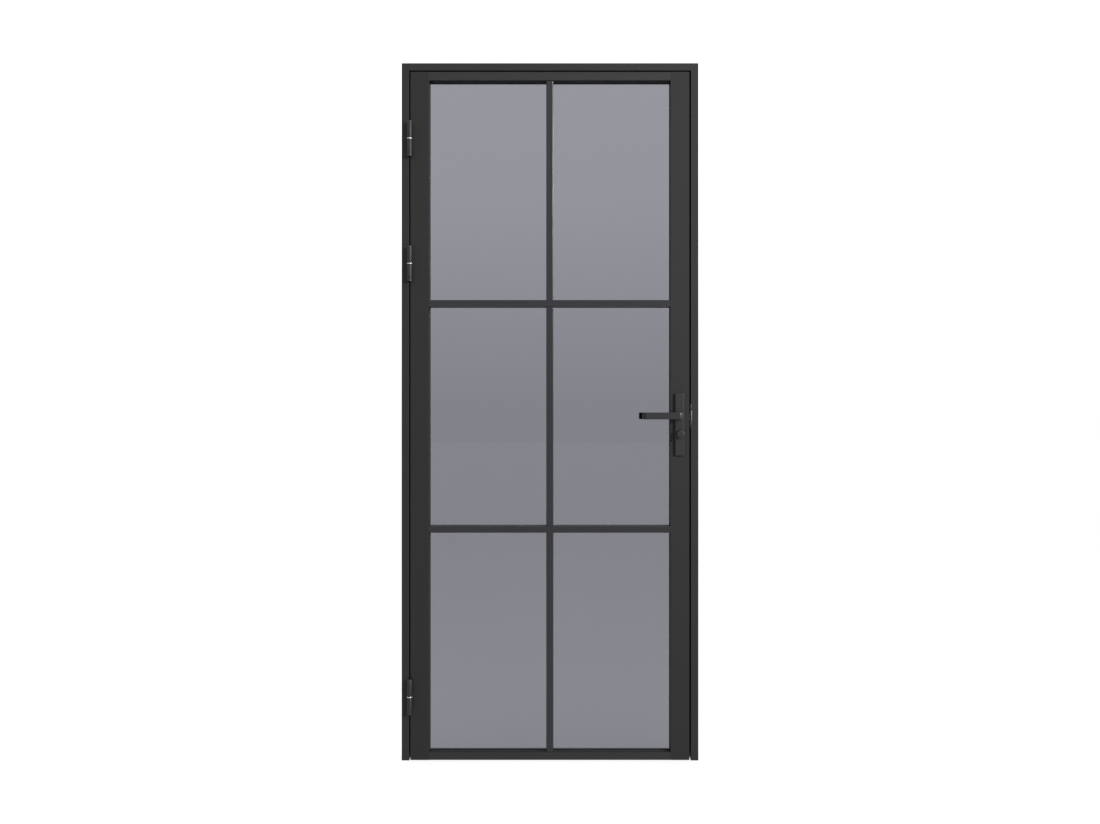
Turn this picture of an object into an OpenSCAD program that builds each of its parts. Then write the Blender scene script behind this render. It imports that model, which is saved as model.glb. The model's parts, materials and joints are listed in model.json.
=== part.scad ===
// Single-leaf glass door with its frame: slim hollow metal profiles, six panes in a grid of
// glazing bars, three barrel hinges, a mortise lock with a lever handle and a turn knob.
// Millimetres. X runs from the hinge side to the lock side, Y from the opening side to the
// closing side, Z up. The origin is on the floor line, at mid-width and mid-thickness of the leaf.

/* [Frame] */
// Overall width over the two jambs
frame_w = 900; // [700:5:1100]
// Overall height from the floor to the top of the head
frame_h = 2115; // [1750:5:2600]
// Face width of the jambs and the head, seen from the opening side
frame_face = 22.5; // [20:0.5:30]
// Depth of the frame through the wall
frame_depth = 70; // [66:1:120]
// Wall thickness of the frame profile
frame_wall = 2; // [1.5:0.1:2.5]
// How far the stop stands inward of the jamb face
stop_w = 13; // [11:0.5:16]
// Length of each leg of the corner cleats
cleat_leg = 70; // [40:5:100]

/* [Rebate seal] */
// Gap between the leaf's closing face and the stop, filled by the seal
seal_gap = 4; // [3:0.5:5]
// Width of the seal's base strip
seal_w = 9; // [7:0.5:10]
// Thickness of the seal's base strip
seal_base_t = 1.4; // [1:0.1:1.8]

/* [Wall fixings] */
// Height of the lowest fixing hole in each jamb
fixing_low_z = 150; // [80:5:180]
// Distance from the top of the frame down to the highest fixing hole
fixing_top_drop = 165; // [100:5:300]
// Number of fixing holes in each jamb
fixing_count = 4; // [3:1:4]
// Radius of the fixing holes
fixing_r = 4; // [3:0.25:5]
// Distance of the fixing holes behind the leaf's mid-plane
fixing_y = 17; // [14:0.5:19]

/* [Leaf] */
// Thickness of the leaf
leaf_t = 50; // [46:0.5:60]
// Wall thickness of the leaf profiles
leaf_wall = 2; // [1.5:0.1:2.5]
// Clear gap at the hinge side
gap_hinge = 4; // [3:0.5:6]
// Clear gap at the lock side
gap_lock = 5; // [4.5:0.5:7]
// Clear gap under the head
gap_head = 4; // [3:0.5:6]
// Clear gap over the floor
gap_floor = 1.5; // [1:0.5:12]
// Face width of the two stiles
stile_face = 57; // [55:1:70]
// Face width of the top rail
top_rail_face = 26; // [22:0.5:60]
// Face width of the bottom rail
bottom_rail_face = 23; // [20:0.5:120]

/* [Glazing bars] */
// Face width of the glazing bars
bar_face = 20; // [19:0.5:30]
// How far the upright bars lie behind the front of the cross bars
upright_setback = 3; // [0:0.5:5]

/* [Glass] */
// Thickness of the panes
glass_t = 6; // [4:0.5:8]
// Distance from the leaf's front to the front of the glass
glass_setback = 22; // [20:0.5:32]
// How far the profile covers the edge of the pane
glass_cover = 5; // [4:0.5:6]
// Clearance between the edge of the pane and the bottom of its rebate
glass_edge_gap = 3; // [2:0.5:4]
// Thickness of the gaskets in front of and behind the glass
gasket_t = 2; // [1.5:0.1:3]
// Depth of the beads behind the glass
bead_t = 8; // [7:0.5:12]
// Length of each setting block
block_len = 60; // [30:5:100]
// Distance from the pane's corner to the near end of its setting block
block_inset = 50; // [30:5:80]

/* [Bead screws] */
// Radius of the screw shanks
bead_screw_r = 1.5; // [1.25:0.05:1.75]
// Radius of the countersunk heads
bead_screw_head_r = 3; // [2.5:0.1:3.5]
// Depth of the countersunk heads
bead_screw_head_t = 1.5; // [1:0.1:2]
// Distance from the bead's end to the first screw
bead_screw_inset = 60; // [40:5:90]
// Screws along each upright bead
bead_screws_up = 4; // [2:1:6]
// Screws along each cross bead
bead_screws_across = 2; // [2:1:4]

/* [Hinges] */
// Outer radius of the barrels
hinge_r = 7.7; // [6.5:0.1:9.5]
// Length of a hinge over both knuckles and both caps
hinge_len = 106; // [90:1:140]
// Radius of the hinge pin
hinge_pin_r = 4; // [3:0.25:5]
// Clear gap between the bearing washers and the leaf's front
hinge_clear = 0.5; // [0.3:0.1:3]
// Distance of the hinge axis from the edge of the leaf, into the gap
hinge_axis_out = 0.8; // [0.5:0.1:1.5]
// Thickness of the bearing washer between the knuckles
hinge_washer_t = 1.6; // [1:0.1:3]
// How far the washer stands out of the barrel
hinge_washer_proud = 0.6; // [0.3:0.1:0.8]
// Thickness of the bright caps at both ends of the barrel
hinge_cap_t = 2.6; // [1.5:0.1:5]
// Height of the middle of the lower hinge
lower_hinge_z = 195.5; // [150:0.5:260]
// Distance from the top of the frame down to the middle of the second hinge
middle_hinge_drop = 609.5; // [500:0.5:1050]
// Distance from the top of the frame down to the middle of the top hinge
upper_hinge_drop = 231.5; // [190:0.5:300]

/* [Lock] */
// Height of the lever axis
lever_z = 1045; // [950:1:1060]
// Distance from the leaf's edge to the lever axis
backset = 30; // [28:0.5:35]
// Distance from the lever axis down to the turn knob's axis
turn_drop = 55; // [55:1:72]
// Thickness of the lock case
case_t = 15; // [14:0.5:18]
// Wall thickness of the lock case
case_wall = 1.5; // [1:0.1:1.6]
// Clear gap between the back of the lock case and the stile's inner wall
case_gap = 0.8; // [0.3:0.1:1.2]
// How far the lock case reaches above the lever axis
case_above = 40; // [38:1:60]
// How far the lock case reaches below the turn knob's axis
case_below = 40; // [20:1:60]
// Width of the forend
forend_w = 22; // [20:0.5:24]
// Length of the forend
forend_len = 235; // [200:1:260]
// Thickness of the forend
forend_t = 3; // [2.5:0.1:4]
// Distance from the forend's end to its screw
forend_screw_inset = 9.5; // [8:0.5:14]
// How far the latch stands out of the forend
latch_throw = 12; // [10:0.5:12]
// Height of the latch
latch_h = 28; // [24:1:30]
// How far the dead bolt is thrown
bolt_throw = 15; // [12:0.5:15]
// Height of the dead bolt
bolt_h = 20; // [16:1:22]
// Side clearance of the latch and the dead bolt in the lock case
bolt_play = 0.2; // [0.1:0.05:0.3]
// Angle through which the lever turns
lever_turn = 40; // [36:1:44]
// Angle through which the turn knob turns
knob_turn = 90; // [80:5:100]
// Width of the square spindle
spindle_w = 8; // [7:0.5:9]
// Width of the turn knob's square shaft
turn_shaft_w = 5; // [4:0.5:6]

/* [Strike] */
// Width of the strike plate
strike_w = 24; // [22:0.5:26]
// Length of the strike plate
strike_len = 170; // [150:1:200]
// Thickness of the strike plate
strike_t = 2.5; // [2:0.1:3]
// Length of the lip that bridges the gap, centred on the latch
lip_len = 70; // [60:1:90]
// Clear gap between the lip and the leaf
lip_gap = 2.5; // [2.3:0.1:3]
// Height of the window in the lip
window_h = 34; // [31:1:40]
// How far the keep stands in from the tip of the lip
keep_back = 1; // [0.5:0.1:2]
// Width of the keep across the gap
keep_w = 6; // [5:0.25:8]
// Depth of the dust box behind the strike plate
dust_box_depth = 15; // [14:0.5:16]

/* [Door furniture] */
// Width of the lever plates
plate_w = 28.4; // [26:0.1:32]
// Height of the lever plates
plate_h = 189; // [175:1:230]
// Thickness of the lever plates
plate_t = 8; // [6:0.5:10]
// Height of the middle of the lever plates above the floor
plate_mid_z = 1019; // [1005:1:1030]
// Distance between the two plate bolts
plate_bolt_pitch = 164; // [156:1:170]
// Radius of the plate bolts
plate_bolt_r = 2.5; // [2:0.25:3]
// Length of the lever over its two bends
lever_len = 119.5; // [115:0.5:145]
// Height of the lever's flat bar
lever_h = 20.5; // [18:0.5:25]
// Thickness of the lever's flat bar
lever_t = 10; // [8:0.5:12]
// How far the lever stands out from the leaf
lever_reach = 58; // [50:1:65]
// Clear distance between the lever's returned end and the leaf
return_gap = 20; // [12:1:30]
// Inner radius of the lever's bends
bend_inner_r = 2; // [1:0.5:5]
// Radius of the lever's round shank in the plate
shank_r = 9; // [8:0.25:10]
// Radius of the turn knob
knob_r = 12; // [10:0.5:13.5]
// Radius of the release disc on the closing side
disc_r = 9; // [8:0.5:11]
// How far the turn knob stands out from its plate
knob_reach = 20; // [14:1:28]

/* [Hidden] */
$fn = 64;

cut = 1;            // how far a cutter runs past the face that it cuts
fit = 0.05;         // radial clearance of a pin or shaft that turns in its bore
snug = 0.02;        // radial clearance of a fixed screw in its hole
slide = 0.2;        // clearance round a bolt in its opening
butt = 0.1;         // open joint between two lengths of bead
seal_clear = 0.4;   // gap that a relaxed seal leaves to the leaf

// Main planes
front_y = -leaf_t / 2;
back_y = leaf_t / 2;
stop_y = back_y + seal_gap;
frame_back_y = front_y + frame_depth;
jamb_out = frame_w / 2;
jamb_in = jamb_out - frame_face;
fixing_pitch = (frame_h - fixing_top_drop - fixing_low_z) / (fixing_count - 1);
cleat_depth = 30;
leaf_x0 = -jamb_in + gap_hinge;
leaf_x1 = jamb_in - gap_lock;
leaf_z0 = gap_floor;
leaf_z1 = frame_h - frame_face - gap_head;

// Glazing grid
rebate = glass_cover + glass_edge_gap;
bar_web = bar_face - 2 * rebate;
bead_screw_len = rebate + bar_web / 2 - 0.2;
nose_y = front_y + glass_setback - gasket_t;
glass_y = front_y + glass_setback;
bead_y = glass_y + glass_t + gasket_t;
bead_back_y = min(bead_y + bead_t, back_y);
sight_x0 = leaf_x0 + stile_face;
sight_x1 = leaf_x1 - stile_face;
sight_z0 = leaf_z0 + bottom_rail_face;
sight_z1 = leaf_z1 - top_rail_face;
columns = 2;
rows = 3;
pane_sight_w = (sight_x1 - sight_x0 - (columns - 1) * bar_face) / columns;
pane_sight_h = (sight_z1 - sight_z0 - (rows - 1) * bar_face) / rows;
upright_x = (sight_x0 + sight_x1) / 2;

// Hinges
hinge_x = leaf_x0 - hinge_axis_out;
hinge_proud = hinge_r + hinge_washer_proud + hinge_clear;
hinge_y = front_y - hinge_proud;
hinge_heights = [lower_hinge_z, frame_h - middle_hinge_drop, frame_h - upper_hinge_drop];
knuckle_len = (hinge_len - hinge_washer_t) / 2 - hinge_cap_t;
knuckle_foot_inset = 3;
weld_sink = 0.7;
rim = 0.6;
cap_rim = 0.8;
cap_spigot = 1.6;

// Lock
axis_x = leaf_x1 - backset;
turn_z = lever_z - turn_drop;
forend_x = leaf_x1 - forend_t;
case_x = sight_x1 + rebate + leaf_wall + case_gap;
case_z0 = turn_z - case_below;
case_z1 = lever_z + case_above;
cavity_y = case_t / 2 - case_wall;
bolt_y = cavity_y - bolt_play;
follower_r = 12;
follower_hub_r = 9;
arm_w = 3;
nose_r = 2.5;
catch_t = 4;
latch_arm_r = latch_throw / (2 * sin(lever_turn / 2));
catch_x = axis_x + latch_throw / 2 - nose_r - 0.3;
catch_z0 = lever_z + follower_r + 2;
catch_z1 = lever_z + latch_arm_r + nose_r + 2;
tail_t = 3;
lug_x = axis_x + follower_r + 1.5;
lug_t = 3;
spring_z = catch_z1 + 8;
spring_r = 3;
spring_wire_r = 0.45;
forend_screw_r = 2;
forend_screw_head_r = 3.8;
forend_screw_head_t = 1.9;
forend_screw_grip = 6;
latch_step = 2.5;       // how far the latch head reaches back inside the forend
turn_arm_r = bolt_throw / (2 * sin(knob_turn / 2));
turn_arm_w = 3.2;
turn_hub_r = 6;
bolt_z0 = turn_z + turn_hub_r + 1.2;
slot_half = nose_r + 0.6;
bolt_back_x = case_x + case_wall + 0.5;

// Strike
lip_x = leaf_x1 + lip_gap;
keep_x = lip_x + keep_back;
window_z0 = lever_z - window_h / 2;
keep_back_y = -bolt_y - 2.2;
dust_y0 = keep_back_y + 0.2;
dust_y1 = bolt_y + 2.7;
dust_wall = 1.5;
dust_z0 = bolt_z0 - 6;
dust_z1 = lever_z + latch_h / 2 + 6;
strike_mid_z = (dust_z0 + dust_z1) / 2;
strike_clear = 1.2;     // clearance of the latch and the dead bolt in the strike plate, up and down
strike_screw_r = 2;
strike_screw_head_r = 3.6;
strike_screw_head_t = 1.8;
strike_screw_grip = 6;
strike_screw_z = strike_len / 2 - 11;

// Furniture
plate_face = leaf_t / 2 + plate_t;
lever_face = leaf_t / 2 + lever_reach;
lever_x1 = axis_x + lever_t / 2;
lever_x0 = lever_x1 - lever_len;
bend_r = lever_t + bend_inner_r;
collar_t = 3;
collar_proud = 2.5;
plate_lip = 0.3;        // gap between the plates and what turns in front of them
plate_bolt_head_r = 4.6;
plate_bolt_head_t = 2.5;
grub_r = 2;
grub_out = 8;           // distance of the grub screws in front of the plates
spindle_out = 12;       // how far the spindle reaches out of the plates
disc_proud = 1;
forend_mid_z = plate_mid_z;
forend_screw_z = forend_len / 2 - forend_screw_inset;
backing = 2;            // solid metal left in front of the ends of the plate bolts

// Outline of a hollow stepped profile, in (across, depth), drawn `inset` inside its outer faces.
// It is `face` wide from y0 to y1, then `step` narrower, or wider if step is negative, up to y2.
function stepped(face, step, y0, y1, y2, inset) =
    let(y_step = y1 - sign(step) * inset)
    [[inset, y0 + inset], [face - inset, y0 + inset], [face - inset, y_step],
     [face - step - inset, y_step], [face - step - inset, y2 - inset], [inset, y2 - inset]];

function frame_outline(inset) = stepped(frame_face, -stop_w, front_y, stop_y, frame_back_y, inset);
function leaf_outline(face, inset) = stepped(face, rebate, front_y, nose_y, back_y, inset);
function swapped(points) = [for (p = points) [p[1], p[0]]];

module hollow_upright(outer, inner, len) {
    linear_extrude(len) difference() { polygon(outer); polygon(inner); }
}

module hollow_crosswise(outer, inner, len) {
    rotate([90, 0, 90]) linear_extrude(len) difference() {
        polygon(swapped(outer));
        polygon(swapped(inner));
    }
}

module at(x, y, z) { translate([x, y, z]) children(); }

module box(x0, x1, y0, y1, z0, z1) { at(x0, y0, z0) cube([x1 - x0, y1 - y0, z1 - z0]); }

module rod_x(r, x0, x1, y, z) { at(x0, y, z) rotate([0, 90, 0]) cylinder(r = r, h = x1 - x0); }

module rod_y(r, x, y0, y1, z) { at(x, y0, z) rotate([-90, 0, 0]) cylinder(r = r, h = y1 - y0); }

module cone_x(r0, r1, x0, x1, y, z) {
    at(x0, y, z) rotate([0, 90, 0]) cylinder(r1 = r0, r2 = r1, h = x1 - x0);
}

// Strip with round ends, standing in the plane across X
module round_strip(w, len, t) {
    rotate([90, 0, 90]) linear_extrude(t) {
        square([w, len - w], center = true);
        for (s = [-1, 1]) translate([0, s * (len - w) / 2]) circle(d = w);
    }
}

module both_jambs() { children(); mirror([1, 0, 0]) children(); }

// ---- Frame ----

// Everything above the mitre line at the hinge-side top corner
module above_mitre() {
    reach = frame_face + stop_w + cut;
    at(0, frame_back_y + cut, 0) rotate([90, 0, 0]) linear_extrude(frame_depth + 2 * cut)
        polygon([[-jamb_out - cut, frame_h + cut], [-jamb_out + reach, frame_h - reach],
                 [-jamb_out + reach, frame_h + cut]]);
}

// Everything below the mitre line at the hinge-side top corner
module below_mitre() {
    reach = frame_face + stop_w + cut;
    at(0, frame_back_y + cut, 0) rotate([90, 0, 0]) linear_extrude(frame_depth + 2 * cut)
        polygon([[-jamb_out - cut, frame_h + cut], [-jamb_out + reach, frame_h - reach],
                 [-jamb_out - cut, frame_h - reach]]);
}

module fixing_holes() {
    for (i = [0 : fixing_count - 1])
        rod_x(fixing_r, -jamb_out - cut, -jamb_in + cut, fixing_y, fixing_low_z + i * fixing_pitch);
}

module jamb() {
    difference() {
        at(-jamb_out, 0, 0) hollow_upright(frame_outline(0), frame_outline(frame_wall), frame_h);
        above_mitre();
        fixing_holes();
    }
}

module hinge_jamb() { color("#37383a") jamb(); }

module strike_recess() {
    at(jamb_in - cut, 0, strike_mid_z) round_strip(strike_w + slide, strike_len + slide, strike_t + cut);
    box(jamb_in - cut, jamb_in + strike_t, front_y - cut, 0, lever_z - lip_len / 2, lever_z + lip_len / 2);
    box(jamb_in - cut, keep_x + keep_w + slide, front_y - cut, keep_back_y, window_z0, window_z0 + window_h);
}

// Blocks welded behind the jamb's inner wall, which the strike screws bite into
module strike_bosses() {
    for (s = [-1, 1])
        box(jamb_in + frame_wall / 2, jamb_in + strike_t + strike_screw_grip,
            -strike_w / 2 - 4, strike_w / 2 + 4,
            strike_mid_z + s * strike_screw_z - 9, strike_mid_z + s * strike_screw_z + 9);
}

module lock_jamb() {
    color("#3a3a3d") difference() {
        union() {
            mirror([1, 0, 0]) jamb();
            strike_bosses();
        }
        strike_recess();
        for (s = [-1, 1])
            rod_x(strike_screw_r + snug, jamb_in, jamb_in + strike_t + strike_screw_grip + cut,
                  0, strike_mid_z + s * strike_screw_z);
    }
}

module frame_head() {
    color("#3c3c3c") difference() {
        at(-jamb_out, 0, frame_h) mirror([0, 0, 1])
            hollow_crosswise(frame_outline(0), frame_outline(frame_wall), frame_w);
        both_jambs() below_mitre();
    }
}

module frame_corner_cleats() {
    inset = frame_wall + 0.2;
    bar = frame_face - 2 * inset;
    color("silver") both_jambs()
        at(-jamb_out + inset, front_y + inset, frame_h - inset) mirror([0, 0, 1]) {
            cube([bar, cleat_depth, cleat_leg]);
            cube([cleat_leg, cleat_depth, bar]);
        }
}

module seal_outline() {
    bulb_r = seal_gap - seal_base_t - seal_clear;
    translate([0, -seal_base_t]) square([seal_w, seal_base_t]);
    intersection() {
        translate([seal_w / 2, -seal_base_t]) circle(r = bulb_r);
        translate([0, -seal_gap]) square([seal_w, seal_gap - seal_base_t / 2]);
    }
}

module jamb_seal() {
    at(-jamb_in + (stop_w - seal_w) / 2, stop_y, 0)
        linear_extrude(frame_h - frame_face - stop_w) seal_outline();
}

module hinge_side_seal() { color("#141414") jamb_seal(); }

module lock_side_seal() { color("#141414") mirror([1, 0, 0]) jamb_seal(); }

module head_seal() {
    color("#141414") at(-jamb_in + stop_w, stop_y, frame_h - frame_face - (stop_w - seal_w) / 2)
        rotate([90, 90, 90]) linear_extrude(2 * (jamb_in - stop_w)) seal_outline();
}

// ---- Strike ----

module countersunk_x(r, head_r, head_t, x0, x1, y, z) {
    rod_x(r, x0, x1, y, z);
    cone_x(head_r, r, x0, x0 + head_t, y, z);
}

module strike_plate() {
    color("#343436") difference() {
        union() {
            at(jamb_in, 0, strike_mid_z) round_strip(strike_w, strike_len, strike_t);
            box(jamb_in, jamb_in + strike_t, front_y, 0, lever_z - lip_len / 2, lever_z + lip_len / 2);
            box(lip_x, jamb_in, front_y, front_y + strike_t, lever_z - lip_len / 2, lever_z + lip_len / 2);
        }
        box(lip_x - cut, jamb_in + strike_t + cut, front_y - cut, keep_back_y,
            window_z0, window_z0 + window_h);
        box(jamb_in - cut, jamb_in + strike_t + cut, dust_y0 + dust_wall, dust_y1 - dust_wall,
            lever_z - latch_h / 2 - strike_clear, lever_z + latch_h / 2 + strike_clear);
        box(jamb_in - cut, jamb_in + strike_t + cut, dust_y0 + dust_wall, dust_y1 - dust_wall,
            bolt_z0 - strike_clear, bolt_z0 + bolt_h + strike_clear);
        for (s = [-1, 1])
            countersunk_x(strike_screw_r + snug, strike_screw_head_r, strike_screw_head_t,
                          jamb_in, jamb_in + strike_t + cut, 0, strike_mid_z + s * strike_screw_z);
    }
}

module strike_keep() {
    y0 = front_y + 1.5;
    color("#c9cacc") at(0, 0, window_z0) linear_extrude(window_h)
        polygon([[keep_x, y0 + 3], [keep_x + 2.5, y0], [keep_x + keep_w, y0],
                 [keep_x + keep_w, keep_back_y], [keep_x, keep_back_y]]);
}

module strike_dust_box() {
    x0 = jamb_in + strike_t;
    color("#202020") difference() {
        box(x0, x0 + dust_box_depth, dust_y0, dust_y1, dust_z0, dust_z1);
        box(x0 - cut, x0 + dust_box_depth - dust_wall, dust_y0 + dust_wall, dust_y1 - dust_wall,
            dust_z0 + dust_wall, dust_z1 - dust_wall);
    }
}

module strike_screws() {
    color("#2c2c2e") for (s = [-1, 1])
        countersunk_x(strike_screw_r, strike_screw_head_r - fit, strike_screw_head_t,
                      jamb_in, jamb_in + strike_t + strike_screw_grip, 0, strike_mid_z + s * strike_screw_z);
}

// ---- Hinges ----

// Lathe-turned barrel with chamfered rims, from z = 0 to len, with a bore
module barrel(len, bore_r) {
    rotate_extrude() polygon([[bore_r, 0], [hinge_r - rim, 0], [hinge_r, rim], [hinge_r, len - rim],
                              [hinge_r - rim, len], [bore_r, len]]);
}

// A knuckle with its weld foot; side is -1 for the frame and 1 for the leaf
module knuckle(z0, side, bore_r) {
    jamb_edge = hinge_axis_out - gap_hinge;
    foot_x0 = side < 0 ? -hinge_r + weld_sink : hinge_axis_out + 0.5;
    foot_x1 = side < 0 ? jamb_edge - 0.4 : hinge_r - weld_sink;
    at(hinge_x, hinge_y, z0) {
        barrel(knuckle_len, bore_r);
        difference() {
            box(foot_x0, foot_x1, 0, hinge_proud, knuckle_foot_inset, knuckle_len - knuckle_foot_inset);
            cylinder(r = hinge_r - 1, h = knuckle_len);
        }
    }
}

module frame_knuckle(i) {
    color("#3d3d40") knuckle(hinge_heights[i] - hinge_washer_t / 2 - knuckle_len, -1, hinge_pin_r + snug);
}

module leaf_knuckle(i) {
    color("#3d3d40") knuckle(hinge_heights[i] + hinge_washer_t / 2 + fit, 1, hinge_pin_r + fit);
}

module upper_hinge_frame_knuckle() { frame_knuckle(2); }

module middle_hinge_frame_knuckle() { frame_knuckle(1); }

module lower_hinge_frame_knuckle() { frame_knuckle(0); }

module upper_hinge_leaf_knuckle() { leaf_knuckle(2); }

module middle_hinge_leaf_knuckle() { leaf_knuckle(1); }

module lower_hinge_leaf_knuckle() { leaf_knuckle(0); }

// Disc with one chamfered rim; the chamfer is at its outer end
module bright_end(r, t) {
    rotate_extrude() polygon([[0, 0], [r, 0], [r, t - cap_rim], [r - cap_rim, t], [0, t]]);
}

module hinge_pins() {
    below = hinge_washer_t / 2 + knuckle_len;
    color("silver") for (z = hinge_heights) at(hinge_x, hinge_y, z) {
        at(0, 0, -below) cylinder(r = hinge_pin_r, h = below + knuckle_len - cap_spigot - 0.4);
        at(0, 0, -below) mirror([0, 0, 1]) bright_end(hinge_r - 0.1, hinge_cap_t);
    }
}

module hinge_washers() {
    color("silver") for (z = hinge_heights) at(hinge_x, hinge_y, z - hinge_washer_t / 2)
        rotate_extrude() translate([hinge_pin_r + snug, 0])
            square([hinge_r + hinge_washer_proud - hinge_pin_r - snug, hinge_washer_t]);
}

module hinge_caps() {
    color("silver") for (z = hinge_heights)
        at(hinge_x, hinge_y, z + hinge_washer_t / 2 + fit + knuckle_len) {
            bright_end(hinge_r - 0.1, hinge_cap_t);
            at(0, 0, -cap_spigot) cylinder(r = hinge_pin_r, h = cap_spigot);
        }
}

// ---- Leaf profiles ----

module stile() {
    at(leaf_x0, 0, leaf_z0)
        hollow_upright(leaf_outline(stile_face, 0), leaf_outline(stile_face, leaf_wall), leaf_z1 - leaf_z0);
}

// Pilot holes for the bead screws, sunk into the metal round every pane
module bead_pilots() {
    each_bead_screw() at(0, 0, -cut) cylinder(r = bead_screw_r + snug, h = bead_screw_len + 2 + cut);
}

module hinge_stile() { color("#373737") difference() { stile(); bead_pilots(); } }

module forend_bosses() {
    for (s = [-1, 1])
        box(forend_x - forend_screw_grip, forend_x, front_y + leaf_wall / 2, back_y - leaf_wall / 2,
            forend_mid_z + s * forend_screw_z - 7, forend_mid_z + s * forend_screw_z + 7);
}

module lock_stile() {
    color("#38383a") difference() {
        union() {
            difference() {
                at(leaf_x0 + leaf_x1, 0, 0) mirror([1, 0, 0]) stile();
                at(forend_x, 0, forend_mid_z)
                    round_strip(forend_w + slide, forend_len + slide, forend_t + cut);
            }
            forend_bosses();
        }
        for (s = [-1, 1])
            rod_x(forend_screw_r + snug, forend_x - forend_screw_grip - cut, forend_x + cut,
                  0, forend_mid_z + s * forend_screw_z);
        rod_y(shank_r + 1.5, axis_x, front_y - cut, back_y + cut, lever_z);
        rod_y(turn_hub_r + 2, axis_x, front_y - cut, back_y + cut, turn_z);
        for (s = [-1, 1])
            rod_y(plate_bolt_r + 0.1, axis_x, front_y - cut, back_y + cut,
                  plate_mid_z + s * plate_bolt_pitch / 2);
        bead_pilots();
    }
}

// Rail between the stiles, coped round the noses of the stiles at both ends
module rail(face) {
    x0 = sight_x0 - rebate;
    x1 = sight_x1 + rebate;
    difference() {
        at(x0, 0, 0) hollow_crosswise(leaf_outline(face, 0), leaf_outline(face, leaf_wall), x1 - x0);
        box(x0 - cut, sight_x0, front_y - cut, nose_y, -cut, face + cut);
        box(sight_x1, x1 + cut, front_y - cut, nose_y, -cut, face + cut);
    }
}

module top_rail() {
    color("#414141") difference() {
        at(0, 0, leaf_z1) mirror([0, 0, 1]) rail(top_rail_face);
        bead_pilots();
    }
}

module bottom_rail() {
    color("#363636") difference() {
        at(0, 0, leaf_z0) rail(bottom_rail_face);
        bead_pilots();
    }
}

// ---- Glazing bars: a hollow nose in front of the glass and a web between the panes ----

function cross_bar_z(i) = sight_z0 + i * pane_sight_h + (i - 1) * bar_face;

module bar(x0, x1, y0, z0, z1, lengthwise) {
    w = leaf_wall;
    mid = bar_face / 2;
    difference() {
        box(x0, x1, y0, nose_y, z0, z1);
        if (lengthwise) box(x0 - cut, x1 + cut, y0 + w, nose_y - w, z0 + w, z1 - w);
        else box(x0 + w, x1 - w, y0 + w, nose_y - w, z0 - cut, z1 + cut);
    }
    if (lengthwise)
        box(x0 - rebate, x1 + rebate, nose_y, back_y, z0 + mid - bar_web / 2, z0 + mid + bar_web / 2);
    else
        box(x0 + mid - bar_web / 2, x0 + mid + bar_web / 2, nose_y, back_y, z0 - rebate, z1 + rebate);
}

module cross_bar(i) {
    color("#3e3f44") difference() {
        bar(sight_x0, sight_x1, front_y, cross_bar_z(i), cross_bar_z(i) + bar_face, true);
        bead_pilots();
    }
}

module upright_bar(row) {
    z0 = sight_z0 + row * (pane_sight_h + bar_face);
    color("#46464a") difference() {
        bar(upright_x - bar_face / 2, upright_x + bar_face / 2, front_y + upright_setback,
            z0, z0 + pane_sight_h, false);
        bead_pilots();
    }
}

module lower_cross_bar() { cross_bar(1); }

module upper_cross_bar() { cross_bar(2); }

module bottom_upright_bar() { upright_bar(0); }

module middle_upright_bar() { upright_bar(1); }

module top_upright_bar() { upright_bar(2); }

// ---- Glass, gaskets, beads ----

function sight_x(column) = sight_x0 + column * (pane_sight_w + bar_face);
function sight_z(row) = sight_z0 + row * (pane_sight_h + bar_face);

module each_pane() {
    for (column = [0 : columns - 1], row = [0 : rows - 1]) at(sight_x(column), 0, sight_z(row)) children();
}

module pane(column, row) {
    color("#8c8e96", 0.6) at(sight_x(column), 0, sight_z(row))
        box(-glass_cover, pane_sight_w + glass_cover, glass_y, glass_y + glass_t,
            -glass_cover, pane_sight_h + glass_cover);
}

module bottom_left_pane() { pane(0, 0); }

module bottom_right_pane() { pane(1, 0); }

module middle_left_pane() { pane(0, 1); }

module middle_right_pane() { pane(1, 1); }

module top_left_pane() { pane(0, 2); }

module top_right_pane() { pane(1, 2); }

module gasket_ring(y0) {
    color("#151515") each_pane() difference() {
        box(-glass_cover, pane_sight_w + glass_cover, y0, y0 + gasket_t,
            -glass_cover, pane_sight_h + glass_cover);
        box(0, pane_sight_w, y0 - cut, y0 + gasket_t + cut, 0, pane_sight_h);
    }
}

module front_gaskets() { gasket_ring(nose_y); }

module back_gaskets() { gasket_ring(glass_y + glass_t); }

module setting_blocks() {
    color("#202020") each_pane() for (x = [block_inset, pane_sight_w - block_inset - block_len])
        box(x, x + block_len, glass_y, glass_y + glass_t, -rebate, -glass_cover);
}

// Even steps along a bead, kept clear of both its ends
function spread(count, len) =
    [for (i = [0 : count - 1]) bead_screw_inset + i * (len - 2 * bead_screw_inset) / (count - 1)];

// Places its child at every bead screw, with Z pointing into the metal and 0 on the bead's inner face
module each_bead_screw() {
    y = (bead_y + bead_back_y) / 2;
    each_pane() {
        for (z = spread(bead_screws_up, pane_sight_h)) {
            at(0, y, z) rotate([0, -90, 0]) children();
            at(pane_sight_w, y, z) rotate([0, 90, 0]) children();
        }
        for (x = spread(bead_screws_across, pane_sight_w)) {
            at(x, y, 0) rotate([180, 0, 0]) children();
            at(x, y, pane_sight_h) children();
        }
    }
}

module bead_screw(play) {
    cylinder(r = bead_screw_r + play, h = bead_screw_len + play);
    cylinder(r1 = bead_screw_head_r + play, r2 = bead_screw_r + play, h = bead_screw_head_t);
}

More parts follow.
